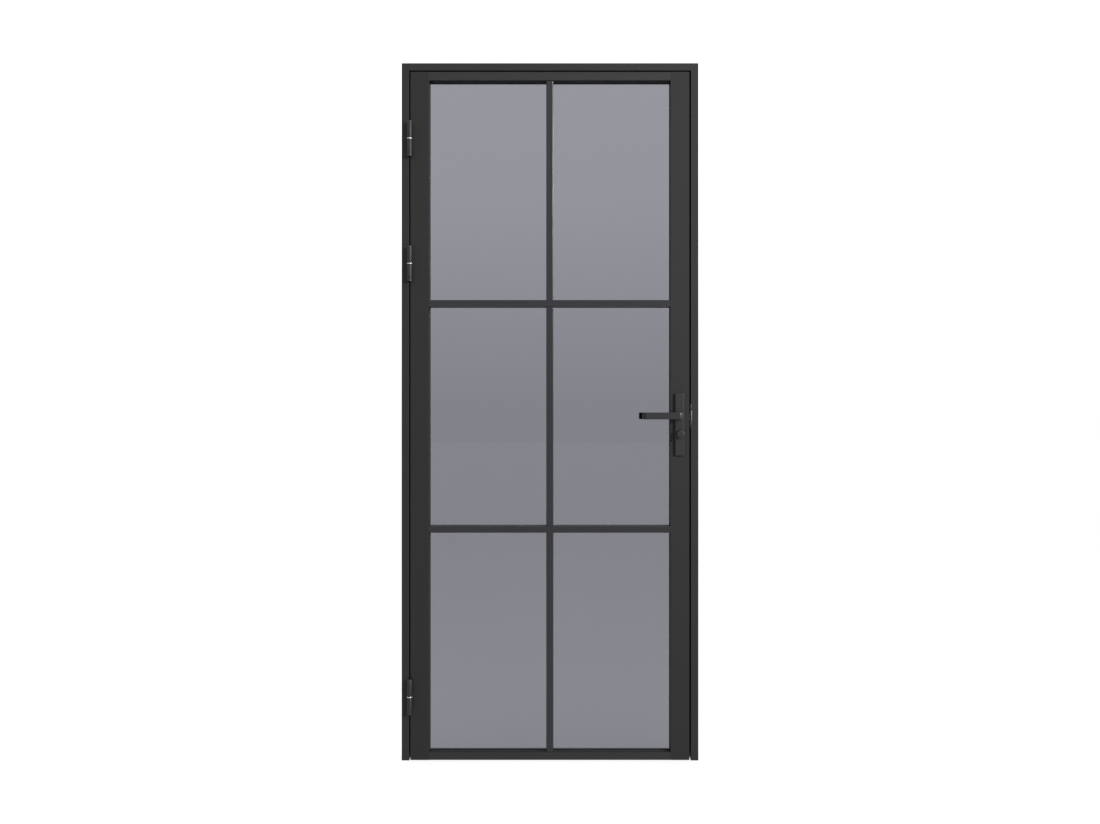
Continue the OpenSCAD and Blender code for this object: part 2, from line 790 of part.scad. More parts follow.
module row_beads(row) {
    color("#303032") difference() {
        for (column = [0 : columns - 1]) at(sight_x(column), 0, sight_z(row)) {
            for (z = [-rebate, pane_sight_h])
                box(-rebate, pane_sight_w + rebate, bead_y, bead_back_y, z, z + rebate);
            for (x = [-rebate, pane_sight_w])
                box(x, x + rebate, bead_y, bead_back_y, butt, pane_sight_h - butt);
        }
        each_bead_screw() bead_screw(snug);
    }
}

module bottom_beads() { row_beads(0); }

module middle_beads() { row_beads(1); }

module top_beads() { row_beads(2); }

module bead_screws() { color("#2a2a2c") each_bead_screw() bead_screw(0); }

// ---- Lock ----

module lock_case() {
    color("#8f9092") difference() {
        box(case_x, forend_x, -case_t / 2, cavity_y, case_z0, case_z1);
        box(case_x + case_wall, forend_x + cut, -cavity_y, cavity_y + cut,
            case_z0 + case_wall, case_z1 - case_wall);
        rod_y(follower_hub_r + fit, axis_x, -case_t, 0, lever_z);
        rod_y(turn_hub_r + fit, axis_x, -case_t, 0, turn_z);
    }
}

module lock_cover() {
    color("#8f9092") difference() {
        box(case_x, forend_x, cavity_y, case_t / 2, case_z0, case_z1);
        rod_y(follower_hub_r + fit, axis_x, 0, case_t, lever_z);
        rod_y(turn_hub_r + fit, axis_x, 0, case_t, turn_z);
    }
}

module lock_forend() {
    color("#2f2f31") difference() {
        at(forend_x, 0, forend_mid_z) round_strip(forend_w, forend_len, forend_t);
        box(forend_x - cut, leaf_x1 + cut, -bolt_y - slide, bolt_y + slide,
            lever_z - latch_h / 2 - slide, lever_z + latch_h / 2 + slide);
        box(forend_x - cut, leaf_x1 + cut, -bolt_y - slide, bolt_y + slide,
            bolt_z0 - slide, bolt_z0 + bolt_h + slide);
        for (s = [-1, 1]) at(leaf_x1, 0, forend_mid_z + s * forend_screw_z) mirror([1, 0, 0])
            countersunk_x(forend_screw_r + snug, forend_screw_head_r, forend_screw_head_t,
                          0, forend_t + cut, 0, 0);
    }
}

module forend_screws() {
    color("#2c2c2e") for (s = [-1, 1]) at(leaf_x1, 0, forend_mid_z + s * forend_screw_z) mirror([1, 0, 0])
        countersunk_x(forend_screw_r, forend_screw_head_r - fit, forend_screw_head_t,
                      0, forend_t + forend_screw_grip, 0, 0);
}

module latch_bolt() {
    tip = leaf_x1 + latch_throw;
    head_x = forend_x - latch_step;
    color("#b9babc") {
        at(0, 0, lever_z - latch_h / 2) linear_extrude(latch_h)
            polygon([[head_x, -bolt_y], [tip, -bolt_y], [tip, -bolt_y + 2],
                     [leaf_x1 + 1.5, bolt_y], [head_x, bolt_y]]);
        box(lug_x, forend_x - 0.5, -bolt_y, bolt_y, catch_z0, catch_z1);
        box(head_x, forend_x - 0.5, -bolt_y, bolt_y, lever_z, catch_z1);
        box(catch_x - catch_t, lug_x + cut, bolt_y - tail_t, bolt_y, catch_z0, catch_z1);
        box(catch_x - catch_t, catch_x, -bolt_y, bolt_y, catch_z0, catch_z1);
        box(lug_x, lug_x + lug_t, -bolt_y, bolt_y, catch_z1 - cut, spring_z + spring_r + 1.5);
    }
}

module dead_bolt() {
    slot_x = axis_x - bolt_throw / 2;
    slot_top = turn_z + turn_arm_r + nose_r + 0.6;
    color("#b9babc") difference() {
        box(bolt_back_x, leaf_x1 - 0.5, -bolt_y, bolt_y, bolt_z0, bolt_z0 + bolt_h);
        box(slot_x - slot_half, slot_x + slot_half, -bolt_y - cut, bolt_y + cut, bolt_z0 - cut, slot_top);
    }
}

module lever_follower() {
    y1 = bolt_y - tail_t - 0.3;
    color("#a8a9ab") difference() {
        union() {
            rod_y(follower_hub_r, axis_x, -case_t / 2, case_t / 2, lever_z);
            at(axis_x, y1, lever_z) rotate([90, 0, 0]) linear_extrude(y1 + bolt_y) {
                circle(r = follower_r);
                rotate(-lever_turn / 2) {
                    translate([-arm_w / 2, 0]) square([arm_w, latch_arm_r]);
                    translate([0, latch_arm_r]) circle(r = nose_r);
                }
            }
        }
        at(axis_x, 0, lever_z) cube([spindle_w + 2 * fit, 2 * case_t, spindle_w + 2 * fit], center = true);
    }
}

module turn_follower() {
    color("#a8a9ab") difference() {
        union() {
            rod_y(turn_hub_r, axis_x, -case_t / 2, case_t / 2, turn_z);
            at(axis_x, 0, turn_z) rotate([0, -knob_turn / 2, 0]) {
                box(-turn_arm_w / 2, turn_arm_w / 2, -bolt_y, bolt_y, 0, turn_arm_r);
                rod_y(nose_r, 0, -bolt_y, bolt_y, turn_arm_r);
            }
        }
        at(axis_x, 0, turn_z)
            cube([turn_shaft_w + 2 * fit, 2 * case_t, turn_shaft_w + 2 * fit], center = true);
    }
}

// Coil of round wire along X, swept as one tube
module latch_spring() {
    turns = 9;
    per_turn = 14;
    sides = 6;
    rings = turns * per_turn;
    x0 = case_x + case_wall + spring_wire_r + 0.3;
    len = lug_x - spring_wire_r - 0.3 - x0;
    points = [for (i = [0 : rings], j = [0 : sides - 1])
        let(turn = 360 * i / per_turn, around = 360 * j / sides, r = spring_r + spring_wire_r * cos(around))
        [r * cos(turn), r * sin(turn), len * i / rings + spring_wire_r * sin(around)]];
    walls = [for (i = [0 : rings - 1], j = [0 : sides - 1])
        let(a = i * sides + j, b = i * sides + (j + 1) % sides) [a, a + sides, b + sides, b]];
    ends = [[for (j = [0 : sides - 1]) j], [for (j = [sides - 1 : -1 : 0]) rings * sides + j]];
    color("silver") at(x0, 0, spring_z) rotate([0, 90, 0])
        polyhedron(points, concat(walls, ends), convexity = 10);
}

// ---- Door furniture ----

module lever_plate() {
    difference() {
        box(axis_x - plate_w / 2, axis_x + plate_w / 2, front_y - plate_t, front_y,
            plate_mid_z - plate_h / 2, plate_mid_z + plate_h / 2);
        rod_y(shank_r + fit, axis_x, -plate_face - cut, front_y + cut, lever_z);
    }
}

module front_plate() {
    color("#3a3a3c") difference() {
        lever_plate();
        rod_y(turn_hub_r + fit, axis_x, -plate_face - cut, front_y + cut, turn_z);
        for (s = [-1, 1])
            rod_y(plate_bolt_r + snug, axis_x, front_y - plate_t + backing, front_y + cut,
                  plate_mid_z + s * plate_bolt_pitch / 2);
    }
}

module plate_bolt(play) {
    for (s = [-1, 1]) at(axis_x, 0, plate_mid_z + s * plate_bolt_pitch / 2) rotate([-90, 0, 0]) {
        at(0, 0, -plate_face + backing + 0.5)
            cylinder(r = plate_bolt_r + play, h = 2 * plate_face - backing - 0.5);
        at(0, 0, plate_face - plate_bolt_head_t)
            cylinder(r1 = plate_bolt_r + play, r2 = plate_bolt_head_r + play, h = plate_bolt_head_t);
    }
}

module back_plate() {
    color("#3a3a3c") difference() {
        mirror([0, 1, 0]) lever_plate();
        rod_y(disc_r + fit, axis_x, back_y - cut, plate_face + cut, turn_z);
        plate_bolt(snug);
    }
}

module plate_bolts() { color("#2c2c2e") plate_bolt(0); }

module spindle() {
    reach = plate_face + spindle_out;
    color("silver") at(axis_x, 0, lever_z) cube([spindle_w, 2 * reach, spindle_w], center = true);
}

// Rectangle with its two lower corners rounded
module lever_bend_2d(x0, x1, y0, y1, r) {
    translate([x0 + r, y0]) square([x1 - x0 - 2 * r, y1 - y0]);
    translate([x0, y0 + r]) square([x1 - x0, y1 - y0 - r]);
    for (x = [x0 + r, x1 - r]) translate([x, y0 + r]) circle(r = r);
}

module lever() {
    neck_y = -plate_face - collar_t - plate_lip;
    socket = spindle_w + 2 * fit;
    difference() {
        union() {
            at(0, 0, lever_z - lever_h / 2) linear_extrude(lever_h) difference() {
                lever_bend_2d(lever_x0, lever_x1, -lever_face, neck_y, bend_r);
                lever_bend_2d(lever_x0 + lever_t, lever_x1 - lever_t, -lever_face + lever_t, neck_y + cut,
                              bend_inner_r);
                translate([lever_x0 - cut, front_y - return_gap])
                    square([lever_len / 2, return_gap]);
            }
            rod_y(shank_r + collar_proud, axis_x, neck_y, -plate_face - plate_lip, lever_z);
            rod_y(shank_r, axis_x, neck_y, front_y, lever_z);
        }
        box(axis_x - socket / 2, axis_x + socket / 2, -plate_face - spindle_out - fit, front_y + cut,
            lever_z - socket / 2, lever_z + socket / 2);
        at(axis_x, -plate_face - grub_out, lever_z - lever_h / 2 - cut)
            cylinder(r = grub_r + snug, h = lever_h / 2);
    }
}

module front_lever() { color("#3e3e41") lever(); }

module back_lever() { color("#3e3e41") mirror([0, 1, 0]) lever(); }

module grub_screws() {
    color("silver") for (s = [-1, 1])
        at(axis_x, s * (plate_face + grub_out), lever_z - lever_h / 2 + 0.5)
            cylinder(r = grub_r, h = lever_h / 2 - 0.5 - spindle_w / 2 - fit);
}

module turn_knob() {
    shaft_end = plate_face - 2.5;
    color("#3e3e41") {
        rod_y(turn_hub_r, axis_x, -plate_face - cut, -case_t / 2 - 1, turn_z);
        at(axis_x, -plate_face - plate_lip, turn_z) rotate([90, 0, 0]) rotate_extrude()
            polygon([[0, 0], [knob_r - 2, 0], [knob_r - 2, 2], [knob_r, 3], [knob_r, knob_reach - 1.5],
                     [knob_r - 1.5, knob_reach], [0, knob_reach]]);
        box(axis_x - turn_shaft_w / 2, axis_x + turn_shaft_w / 2, -case_t, shaft_end,
            turn_z - turn_shaft_w / 2, turn_z + turn_shaft_w / 2);
    }
}

module release_disc() {
    color("#b9babc") difference() {
        union() {
            rod_y(disc_r, axis_x, back_y + 1, plate_face + disc_proud, turn_z);
            rod_y(turn_hub_r, axis_x, case_t / 2 + 1, back_y + 1 + cut, turn_z);
        }
        at(axis_x, plate_face + disc_proud, turn_z) cube([1.2 * disc_r, 3, 2], center = true);
        box(axis_x - turn_shaft_w / 2 - fit, axis_x + turn_shaft_w / 2 + fit, 0, plate_face - 2.4,
            turn_z - turn_shaft_w / 2 - fit, turn_z + turn_shaft_w / 2 + fit);
    }
}

hinge_jamb();
lock_jamb();
frame_head();
frame_corner_cleats();
hinge_side_seal();
lock_side_seal();
head_seal();
strike_plate();
strike_keep();
strike_dust_box();
strike_screws();
upper_hinge_frame_knuckle();
middle_hinge_frame_knuckle();
lower_hinge_frame_knuckle();
hinge_pins();
hinge_washers();
hinge_stile();
lock_stile();
top_rail();
bottom_rail();
upper_cross_bar();
lower_cross_bar();
top_upright_bar();
middle_upright_bar();
bottom_upright_bar();
top_left_pane();
top_right_pane();
middle_left_pane();
middle_right_pane();
bottom_left_pane();
bottom_right_pane();
top_beads();
middle_beads();
bottom_beads();
bead_screws();
front_gaskets();
back_gaskets();
setting_blocks();
upper_hinge_leaf_knuckle();
middle_hinge_leaf_knuckle();
lower_hinge_leaf_knuckle();
hinge_caps();
lock_case();
lock_cover();
lock_forend();
forend_screws();
latch_spring();
latch_bolt();
dead_bolt();
lever_follower();
turn_follower();
front_plate();
back_plate();
plate_bolts();
spindle();
front_lever();
back_lever();
grub_screws();
turn_knob();
release_disc();
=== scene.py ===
"""Looks, studio and camera for a single-leaf glass door with its frame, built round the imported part."""
import json
import logging
import math
from dataclasses import dataclass
from enum import Enum
from typing import Callable, Iterable, Sequence

import bmesh
import bpy
from mathutils import Matrix, Vector


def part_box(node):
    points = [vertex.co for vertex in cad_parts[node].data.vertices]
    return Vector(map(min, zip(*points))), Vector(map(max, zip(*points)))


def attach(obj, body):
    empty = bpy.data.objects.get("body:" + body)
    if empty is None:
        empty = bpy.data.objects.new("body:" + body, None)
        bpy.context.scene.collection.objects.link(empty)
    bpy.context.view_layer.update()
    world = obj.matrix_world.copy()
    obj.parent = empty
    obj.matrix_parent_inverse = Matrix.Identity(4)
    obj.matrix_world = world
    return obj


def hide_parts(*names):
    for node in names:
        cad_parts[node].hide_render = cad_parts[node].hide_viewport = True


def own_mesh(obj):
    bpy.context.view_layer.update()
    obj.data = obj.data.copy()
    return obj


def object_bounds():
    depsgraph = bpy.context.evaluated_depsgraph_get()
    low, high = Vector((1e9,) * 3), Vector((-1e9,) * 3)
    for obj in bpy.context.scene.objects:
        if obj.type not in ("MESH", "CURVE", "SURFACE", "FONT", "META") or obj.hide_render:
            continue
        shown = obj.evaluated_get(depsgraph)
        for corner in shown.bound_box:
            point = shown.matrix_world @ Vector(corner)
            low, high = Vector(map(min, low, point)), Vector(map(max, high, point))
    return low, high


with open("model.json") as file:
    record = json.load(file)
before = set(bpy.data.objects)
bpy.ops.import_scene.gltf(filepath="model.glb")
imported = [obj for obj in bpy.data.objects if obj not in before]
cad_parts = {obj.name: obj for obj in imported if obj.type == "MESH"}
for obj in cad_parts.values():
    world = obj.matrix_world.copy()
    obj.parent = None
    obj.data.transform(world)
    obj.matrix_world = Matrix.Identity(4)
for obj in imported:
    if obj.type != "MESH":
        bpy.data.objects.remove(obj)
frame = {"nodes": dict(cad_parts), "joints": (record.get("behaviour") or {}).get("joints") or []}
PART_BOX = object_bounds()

LOG = logging.getLogger("glass_door")
MM = 0.001
FLAT_FACE = 150 * MM * MM
FLAT_BEND = math.radians(0.4)
SHARP_BEND = math.radians(50)
NODE_WELD = 2e-6
NODE_SLIVER = 1e-6
FINE_WELD = 1e-7
CARVED_CREASE = 30.0

Colour = tuple[float, float, float]
Outline = list[tuple[float, float]]
Edge = Sequence[tuple[float, float]]


class Body(Enum):
    """The bodies that pieces ride on."""

    FRAME = "frame"
    LEAF = "leaf"
    LEVERS = "lever_handles"
    LATCH = "latch"
    TURN = "turn"
    BOLT = "bolt"


class Slot(Enum):
    """The material slots of the part."""

    FRAME = "frame_coating"
    LEAF = "leaf_coating"
    HINGE = "hinge_coating"
    BRIGHT = "bright_steel"
    FURNITURE = "furniture_coating"
    BLACKENED = "blackened_steel"
    CLEAT = "cleat_aluminium"
    RUBBER = "black_rubber"
    PLASTIC = "black_plastic"
    ZINC = "zinc_steel"
    GLASS = "tinted_glass"


class Side(Enum):
    """The two sides of the door, as the sign of their direction along Y."""

    OPENING = -1
    CLOSING = 1


# ---------------------------------------------------------------- shaders


class Signal:
    """A shader socket that takes part in arithmetic."""

    def __init__(self, shader: "Shader", socket: bpy.types.NodeSocket) -> None:
        """Wraps one output socket of a shader's tree."""
        self.shader = shader
        self.socket = socket

    def _combine(self, operation: str, first: "Signal | float", second: "Signal | float") -> "Signal":
        """Adds a Math node.

        Args:
            operation: The Math node's operation.
            first: Its first value.
            second: Its second value.

        Returns:
            The node's result.
        """
        return self.shader.signal("ShaderNodeMath", {"operation": operation}, {0: first, 1: second})

    def __add__(self, other: "Signal | float") -> "Signal":
        """Sum."""
        return self._combine("ADD", self, other)

    def __radd__(self, other: float) -> "Signal":
        """Sum, with the number first."""
        return self._combine("ADD", other, self)

    def __sub__(self, other: "Signal | float") -> "Signal":
        """Difference."""
        return self._combine("SUBTRACT", self, other)

    def __rsub__(self, other: float) -> "Signal":
        """Difference, with the number first."""
        return self._combine("SUBTRACT", other, self)

    def __mul__(self, other: "Signal | float") -> "Signal":
        """Product."""
        return self._combine("MULTIPLY", self, other)

    def __rmul__(self, other: float) -> "Signal":
        """Product, with the number first."""
        return self._combine("MULTIPLY", other, self)


class Tree:
    """A node tree, and the one way in which nodes come into it."""

    def __init__(self, tree: bpy.types.NodeTree) -> None:
        """Empties the tree."""
        self.tree = tree
        tree.nodes.clear()

    def node(self, kind: str, settings: dict[str, object], values: dict[object, object]) -> bpy.types.Node:
        """Adds any node.

        Args:
            kind: The node's type.
            settings: Its own settings, set before its sockets; "stops" is a ramp's list of stops.
            values: A number, a colour, or a Signal or socket to link, for each named or numbered input.

        Returns:
            The node.
        """
        made = self.tree.nodes.new(kind)
        for key, value in settings.items():
            if key == "stops":
                self._set_stops(made.color_ramp, value)
            else:
                setattr(made, key, value)
        for key, value in values.items():
            source = value.socket if isinstance(value, Signal) else value
            if isinstance(source, bpy.types.NodeSocket):
                self.tree.links.new(source, made.inputs[key])
            else:
                made.inputs[key].default_value = source
        return made

    @staticmethod
    def _set_stops(ramp: bpy.types.ColorRamp, stops: Sequence[tuple[float, float]]) -> None:
        """Sets the stops of a ramp, each a place and a grey value."""
        while len(ramp.elements) < len(stops):
            ramp.elements.new(1.0)
        for element, (place, grey) in zip(ramp.elements, stops):
            element.position = place
            element.color = (grey, grey, grey, 1.0)


class Shader(Tree):
    """The node tree of a material or a world, and the few ways in which it is filled."""

    def signal(self, kind: str, settings: dict[str, object], values: dict[object, object],
               output: int | str = 0) -> Signal:
        """Adds any node and returns one of its outputs as a Signal."""
        return Signal(self, self.node(kind, settings, values).outputs[output])

    def place(self, stretch: Sequence[float] = (1.0, 1.0, 1.0)) -> Signal:
        """The point on the object, stretched along its axes."""
        here = self.signal("ShaderNodeTexCoord", {}, {}, "Object")
        if tuple(stretch) == (1.0, 1.0, 1.0):
            return here
        return self.signal("ShaderNodeMapping", {}, {"Vector": here, "Scale": tuple(stretch)})

    def noise(self, place: Signal, scale: float, detail: float = 2.0) -> Signal:
        """Cloudy noise between 0 and 1, with `scale` waves to the metre."""
        return self.signal("ShaderNodeTexNoise", {}, {"Vector": place, "Scale": scale, "Detail": detail})

    def mix(self, share: Signal, first: Colour, second: Colour) -> Signal:
        """Mixes two colours by a share."""
        return self.signal("ShaderNodeMix", {"data_type": "RGBA"},
                           {0: share, 6: (*first, 1.0), 7: (*second, 1.0)}, 2)

    def bump(self, height: Signal, depth: float) -> Signal:
        """Bumps of `depth` metres for a height between 0 and 1."""
        return self.signal("ShaderNodeBump", {}, {"Height": height, "Strength": 1.0, "Distance": depth},
                           "Normal")


class Finish:
    """A surface finish, which knows how to fill a material."""

    name: str

    def fill(self, shader: Shader) -> bpy.types.Node:
        """Fills the tree and returns the node that gives the surface."""
        raise NotImplementedError

    def material(self) -> bpy.types.Material:
        """The finish as a material, made once."""
        known = bpy.data.materials.get(self.name)
        if known:
            return known
        made = bpy.data.materials.new(self.name)
        made.use_nodes = True
        shader = Shader(made.node_tree)
        surface = self.fill(shader)
        shader.node("ShaderNodeOutputMaterial", {}, {"Surface": Signal(shader, surface.outputs[0])})
        return made


@dataclass(frozen=True)
class PowderCoat(Finish):
    """Baked powder coat with a fine grit and a slight orange peel."""

    name: str
    colour: Colour
    fleck: Colour
    roughness: float = 0.55
    gloss: float = 0.3
    peel: float = 420.0
    grit: float = 1700.0
    depth: float = 0.035 * MM

    def fill(self, shader: Shader) -> bpy.types.Node:
        """Grit flecks and slow clouds over the base colour, peel and grit in the bump."""
        here = shader.place()
        grit = shader.noise(here, self.grit, 3.0)
        peel = shader.noise(here, self.peel, 1.0)
        cloud = shader.noise(here, 6.0, 3.0)
        tone = grit * 0.55 + cloud * 0.45
        return shader.node("ShaderNodeBsdfPrincipled", {}, {
            "Base Color": shader.mix(tone, self.colour, self.fleck),
            "Roughness": self.roughness + (grit - 0.5) * 0.14 + (cloud - 0.5) * 0.08,
            "Specular IOR Level": self.gloss,
            "Normal": shader.bump(peel * 0.6 + grit * 0.4, self.depth),
        })


@dataclass(frozen=True)
class TurnedMetal(Finish):
    """Bare metal with fine tool marks that run across `marks`."""

    name: str
    colour: Colour
    stain: Colour
    roughness: float
    marks: tuple[float, float, float]
    depth: float = 0.006 * MM

    def fill(self, shader: Shader) -> bpy.types.Node:
        """Tool marks in the bump and the roughness, a faint stain in the colour."""
        lines = shader.noise(shader.place(self.marks), 1.0, 2.0)
        stain = shader.noise(shader.place(), 60.0, 3.0)
        return shader.node("ShaderNodeBsdfPrincipled", {}, {
            "Base Color": shader.mix(stain * 0.6 + lines * 0.4, self.colour, self.stain),
            "Roughness": self.roughness + (lines - 0.5) * 0.16,
            "Metallic": 1.0,
            "Normal": shader.bump(lines, self.depth),
        })


@dataclass(frozen=True)
class Moulded(Finish):
    """Moulded rubber or plastic with a fine pored skin."""

    name: str
    colour: Colour
    bloom: Colour
    roughness: float
    pores: float = 1400.0
    depth: float = 0.02 * MM

    def fill(self, shader: Shader) -> bpy.types.Node:
        """Pores in the bump, a dusty bloom in the colour."""
        here = shader.place()
        pores = shader.noise(here, self.pores, 2.0)
        bloom = shader.noise(here, 25.0, 4.0)
        return shader.node("ShaderNodeBsdfPrincipled", {}, {
            "Base Color": shader.mix(bloom, self.colour, self.bloom),
            "Roughness": self.roughness + (bloom - 0.5) * 0.12,
            "Specular IOR Level": 0.35,
            "Normal": shader.bump(pores, self.depth),
        })


@dataclass(frozen=True)
class TintedPane(Finish):
    """Clear float glass, tinted grey all through."""

    name: str
    tint: Colour
    deeper: Colour
    roughness: float = 0.012
    ripple: float = 0.004 * MM

    def fill(self, shader: Shader) -> bpy.types.Node:
        """A tint that hardly varies, with the faint ripple of toughened glass."""
        here = shader.place()
        cloud = shader.noise(here, 1.6, 2.0)
        return shader.node("ShaderNodeBsdfPrincipled", {}, {
            "Base Color": shader.mix(cloud, self.tint, self.deeper),
            "Roughness": self.roughness + cloud * 0.01,
            "Transmission Weight": 1.0,
            "IOR": 1.45,
            "Specular IOR Level": 0.1,
            "Normal": shader.bump(shader.noise(here, 9.0, 1.0), self.ripple),
        })


@dataclass(frozen=True)
class PaleFloor(Finish):
    """Plain pale floor with a painted glow: it lights itself, most strongly near the door, which cancels the
    door's shade on it.
    """

    name: str = "pale_floor"
    base: Colour = (0.29, 0.29, 0.29)
    paler: Colour = (0.31, 0.31, 0.31)
    # painted glow: the floor's own light, which keeps it white where the door would shade it
    painted_glow: float = 0.8
    reach: float = 8.0
    painted_glow_ramp: Edge = ((0.03, 0.91), (0.155, 0.8), (0.324, 0.72), (0.656, 0.656))

    def fill(self, shader: Shader) -> bpy.types.Node:
        """Very slow clouds of nearly white, with a painted glow that is stronger near the middle, where the
        door stands.
        """
        here = shader.place()
        cloud = shader.noise(here, 0.8, 3.0)
        away = shader.signal("ShaderNodeVectorMath", {"operation": "LENGTH"}, {0: here}, "Value")
        # painted glow that falls off with distance from the door, brightest where the door's shade falls
        painted_glow_ramp = shader.signal("ShaderNodeValToRGB", {"stops": self.painted_glow_ramp}, {"Fac": away * (1.0 / self.reach)})
        return shader.node("ShaderNodeBsdfPrincipled", {}, {
            "Base Color": shader.mix(cloud, self.base, self.paler),
            "Roughness": 0.7 + cloud * 0.1,
            "Specular IOR Level": 0.2,
            "Emission Color": painted_glow_ramp,
            "Emission Strength": self.painted_glow,
        })


FRAME_COAT = PowderCoat("frame_coat", (0.0035, 0.0035, 0.0036), (0.0065, 0.0065, 0.0068), roughness=0.62,
                        gloss=0.22)
LEAF_COAT = PowderCoat("leaf_coat", (0.003, 0.003, 0.0031), (0.0058, 0.0058, 0.006), roughness=0.62,
                       gloss=0.21)
RAIL_COAT = PowderCoat("rail_coat", (0.0045, 0.0045, 0.0046), (0.008, 0.008, 0.0082), roughness=0.62,
                       gloss=0.24)
BAR_COAT = PowderCoat("bar_coat", (0.0016, 0.0018, 0.0032), (0.0034, 0.0037, 0.0058), roughness=0.3,
                      gloss=0.4)
HINGE_COAT = PowderCoat("hinge_coat", (0.004, 0.004, 0.0042), (0.0075, 0.0075, 0.0078), roughness=0.55,
                        gloss=0.26, peel=700.0, depth=0.02 * MM)
FURNITURE_COAT = PowderCoat("furniture_coat", (0.0032, 0.0032, 0.0042), (0.006, 0.006, 0.0075), roughness=0.4,
                            gloss=0.3, peel=650.0, depth=0.018 * MM)
BRIGHT_STEEL = TurnedMetal("bright_steel", (0.2, 0.198, 0.195), (0.14, 0.139, 0.137), 0.38,
                           (70.0, 70.0, 3200.0))
CAP_STEEL = TurnedMetal("cap_steel", (0.06, 0.06, 0.059), (0.035, 0.035, 0.035), 0.5, (70.0, 70.0, 3200.0))
BOLT_STEEL = TurnedMetal("bolt_steel", (0.26, 0.26, 0.262), (0.17, 0.17, 0.173), 0.34, (3000.0, 120.0, 120.0))
KEEP_STEEL = TurnedMetal("keep_steel", (0.19, 0.19, 0.192), (0.13, 0.13, 0.132), 0.5, (120.0, 120.0, 2600.0))
BLACK_STEEL = TurnedMetal("black_steel", (0.03, 0.03, 0.032), (0.018, 0.018, 0.02), 0.42,
                          (900.0, 900.0, 900.0))
CLEAT_METAL = TurnedMetal("cleat_metal", (0.6, 0.61, 0.62), (0.48, 0.49, 0.5), 0.38, (150.0, 2600.0, 150.0))
ZINC_STEEL = TurnedMetal("zinc_steel", (0.4, 0.41, 0.42), (0.27, 0.28, 0.3), 0.42, (260.0, 260.0, 260.0))
SEAL_RUBBER = Moulded("seal_rubber", (0.004, 0.004, 0.004), (0.009, 0.009, 0.009), 0.62)
DARK_PLASTIC = Moulded("dark_plastic", (0.006, 0.006, 0.006), (0.012, 0.012, 0.012), 0.5, pores=900.0)
GREY_GLASS = TintedPane("grey_glass", (0.199, 0.202, 0.229), (0.194, 0.197, 0.223))


# ---------------------------------------------------------------- meshes


@dataclass(frozen=True)
class Extent:
    """An axis-aligned box."""

    low: Vector
    high: Vector

    @property
    def middle(self) -> Vector:
        """The middle of the box."""
        return (self.low + self.high) / 2

    @property
    def size(self) -> Vector:
        """The box's length along each axis."""
        return self.high - self.low


def extent_of(node: str) -> Extent:
    """The box of one CAD node at rest."""
    return Extent(*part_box(node))


def rounded_rectangle(width: float, height: float, radius: float, steps: int = 3) -> Outline:
    """A rectangle with round corners, about the origin.

    Args:
        width: Its size along the first axis.
        height: Its size along the second axis.
        radius: The radius of its corners.
        steps: How many edges make each corner.

    Returns:
        Its points, anticlockwise.
    """
    points = []
    for corner, (sx, sy) in enumerate(((1, 1), (-1, 1), (-1, -1), (1, -1))):
        for step in range(steps + 1):
            angle = math.pi / 2 * (corner + step / steps)
            points.append((sx * (width / 2 - radius) + radius * math.cos(angle),
                           sy * (height / 2 - radius) + radius * math.sin(angle)))
    return points


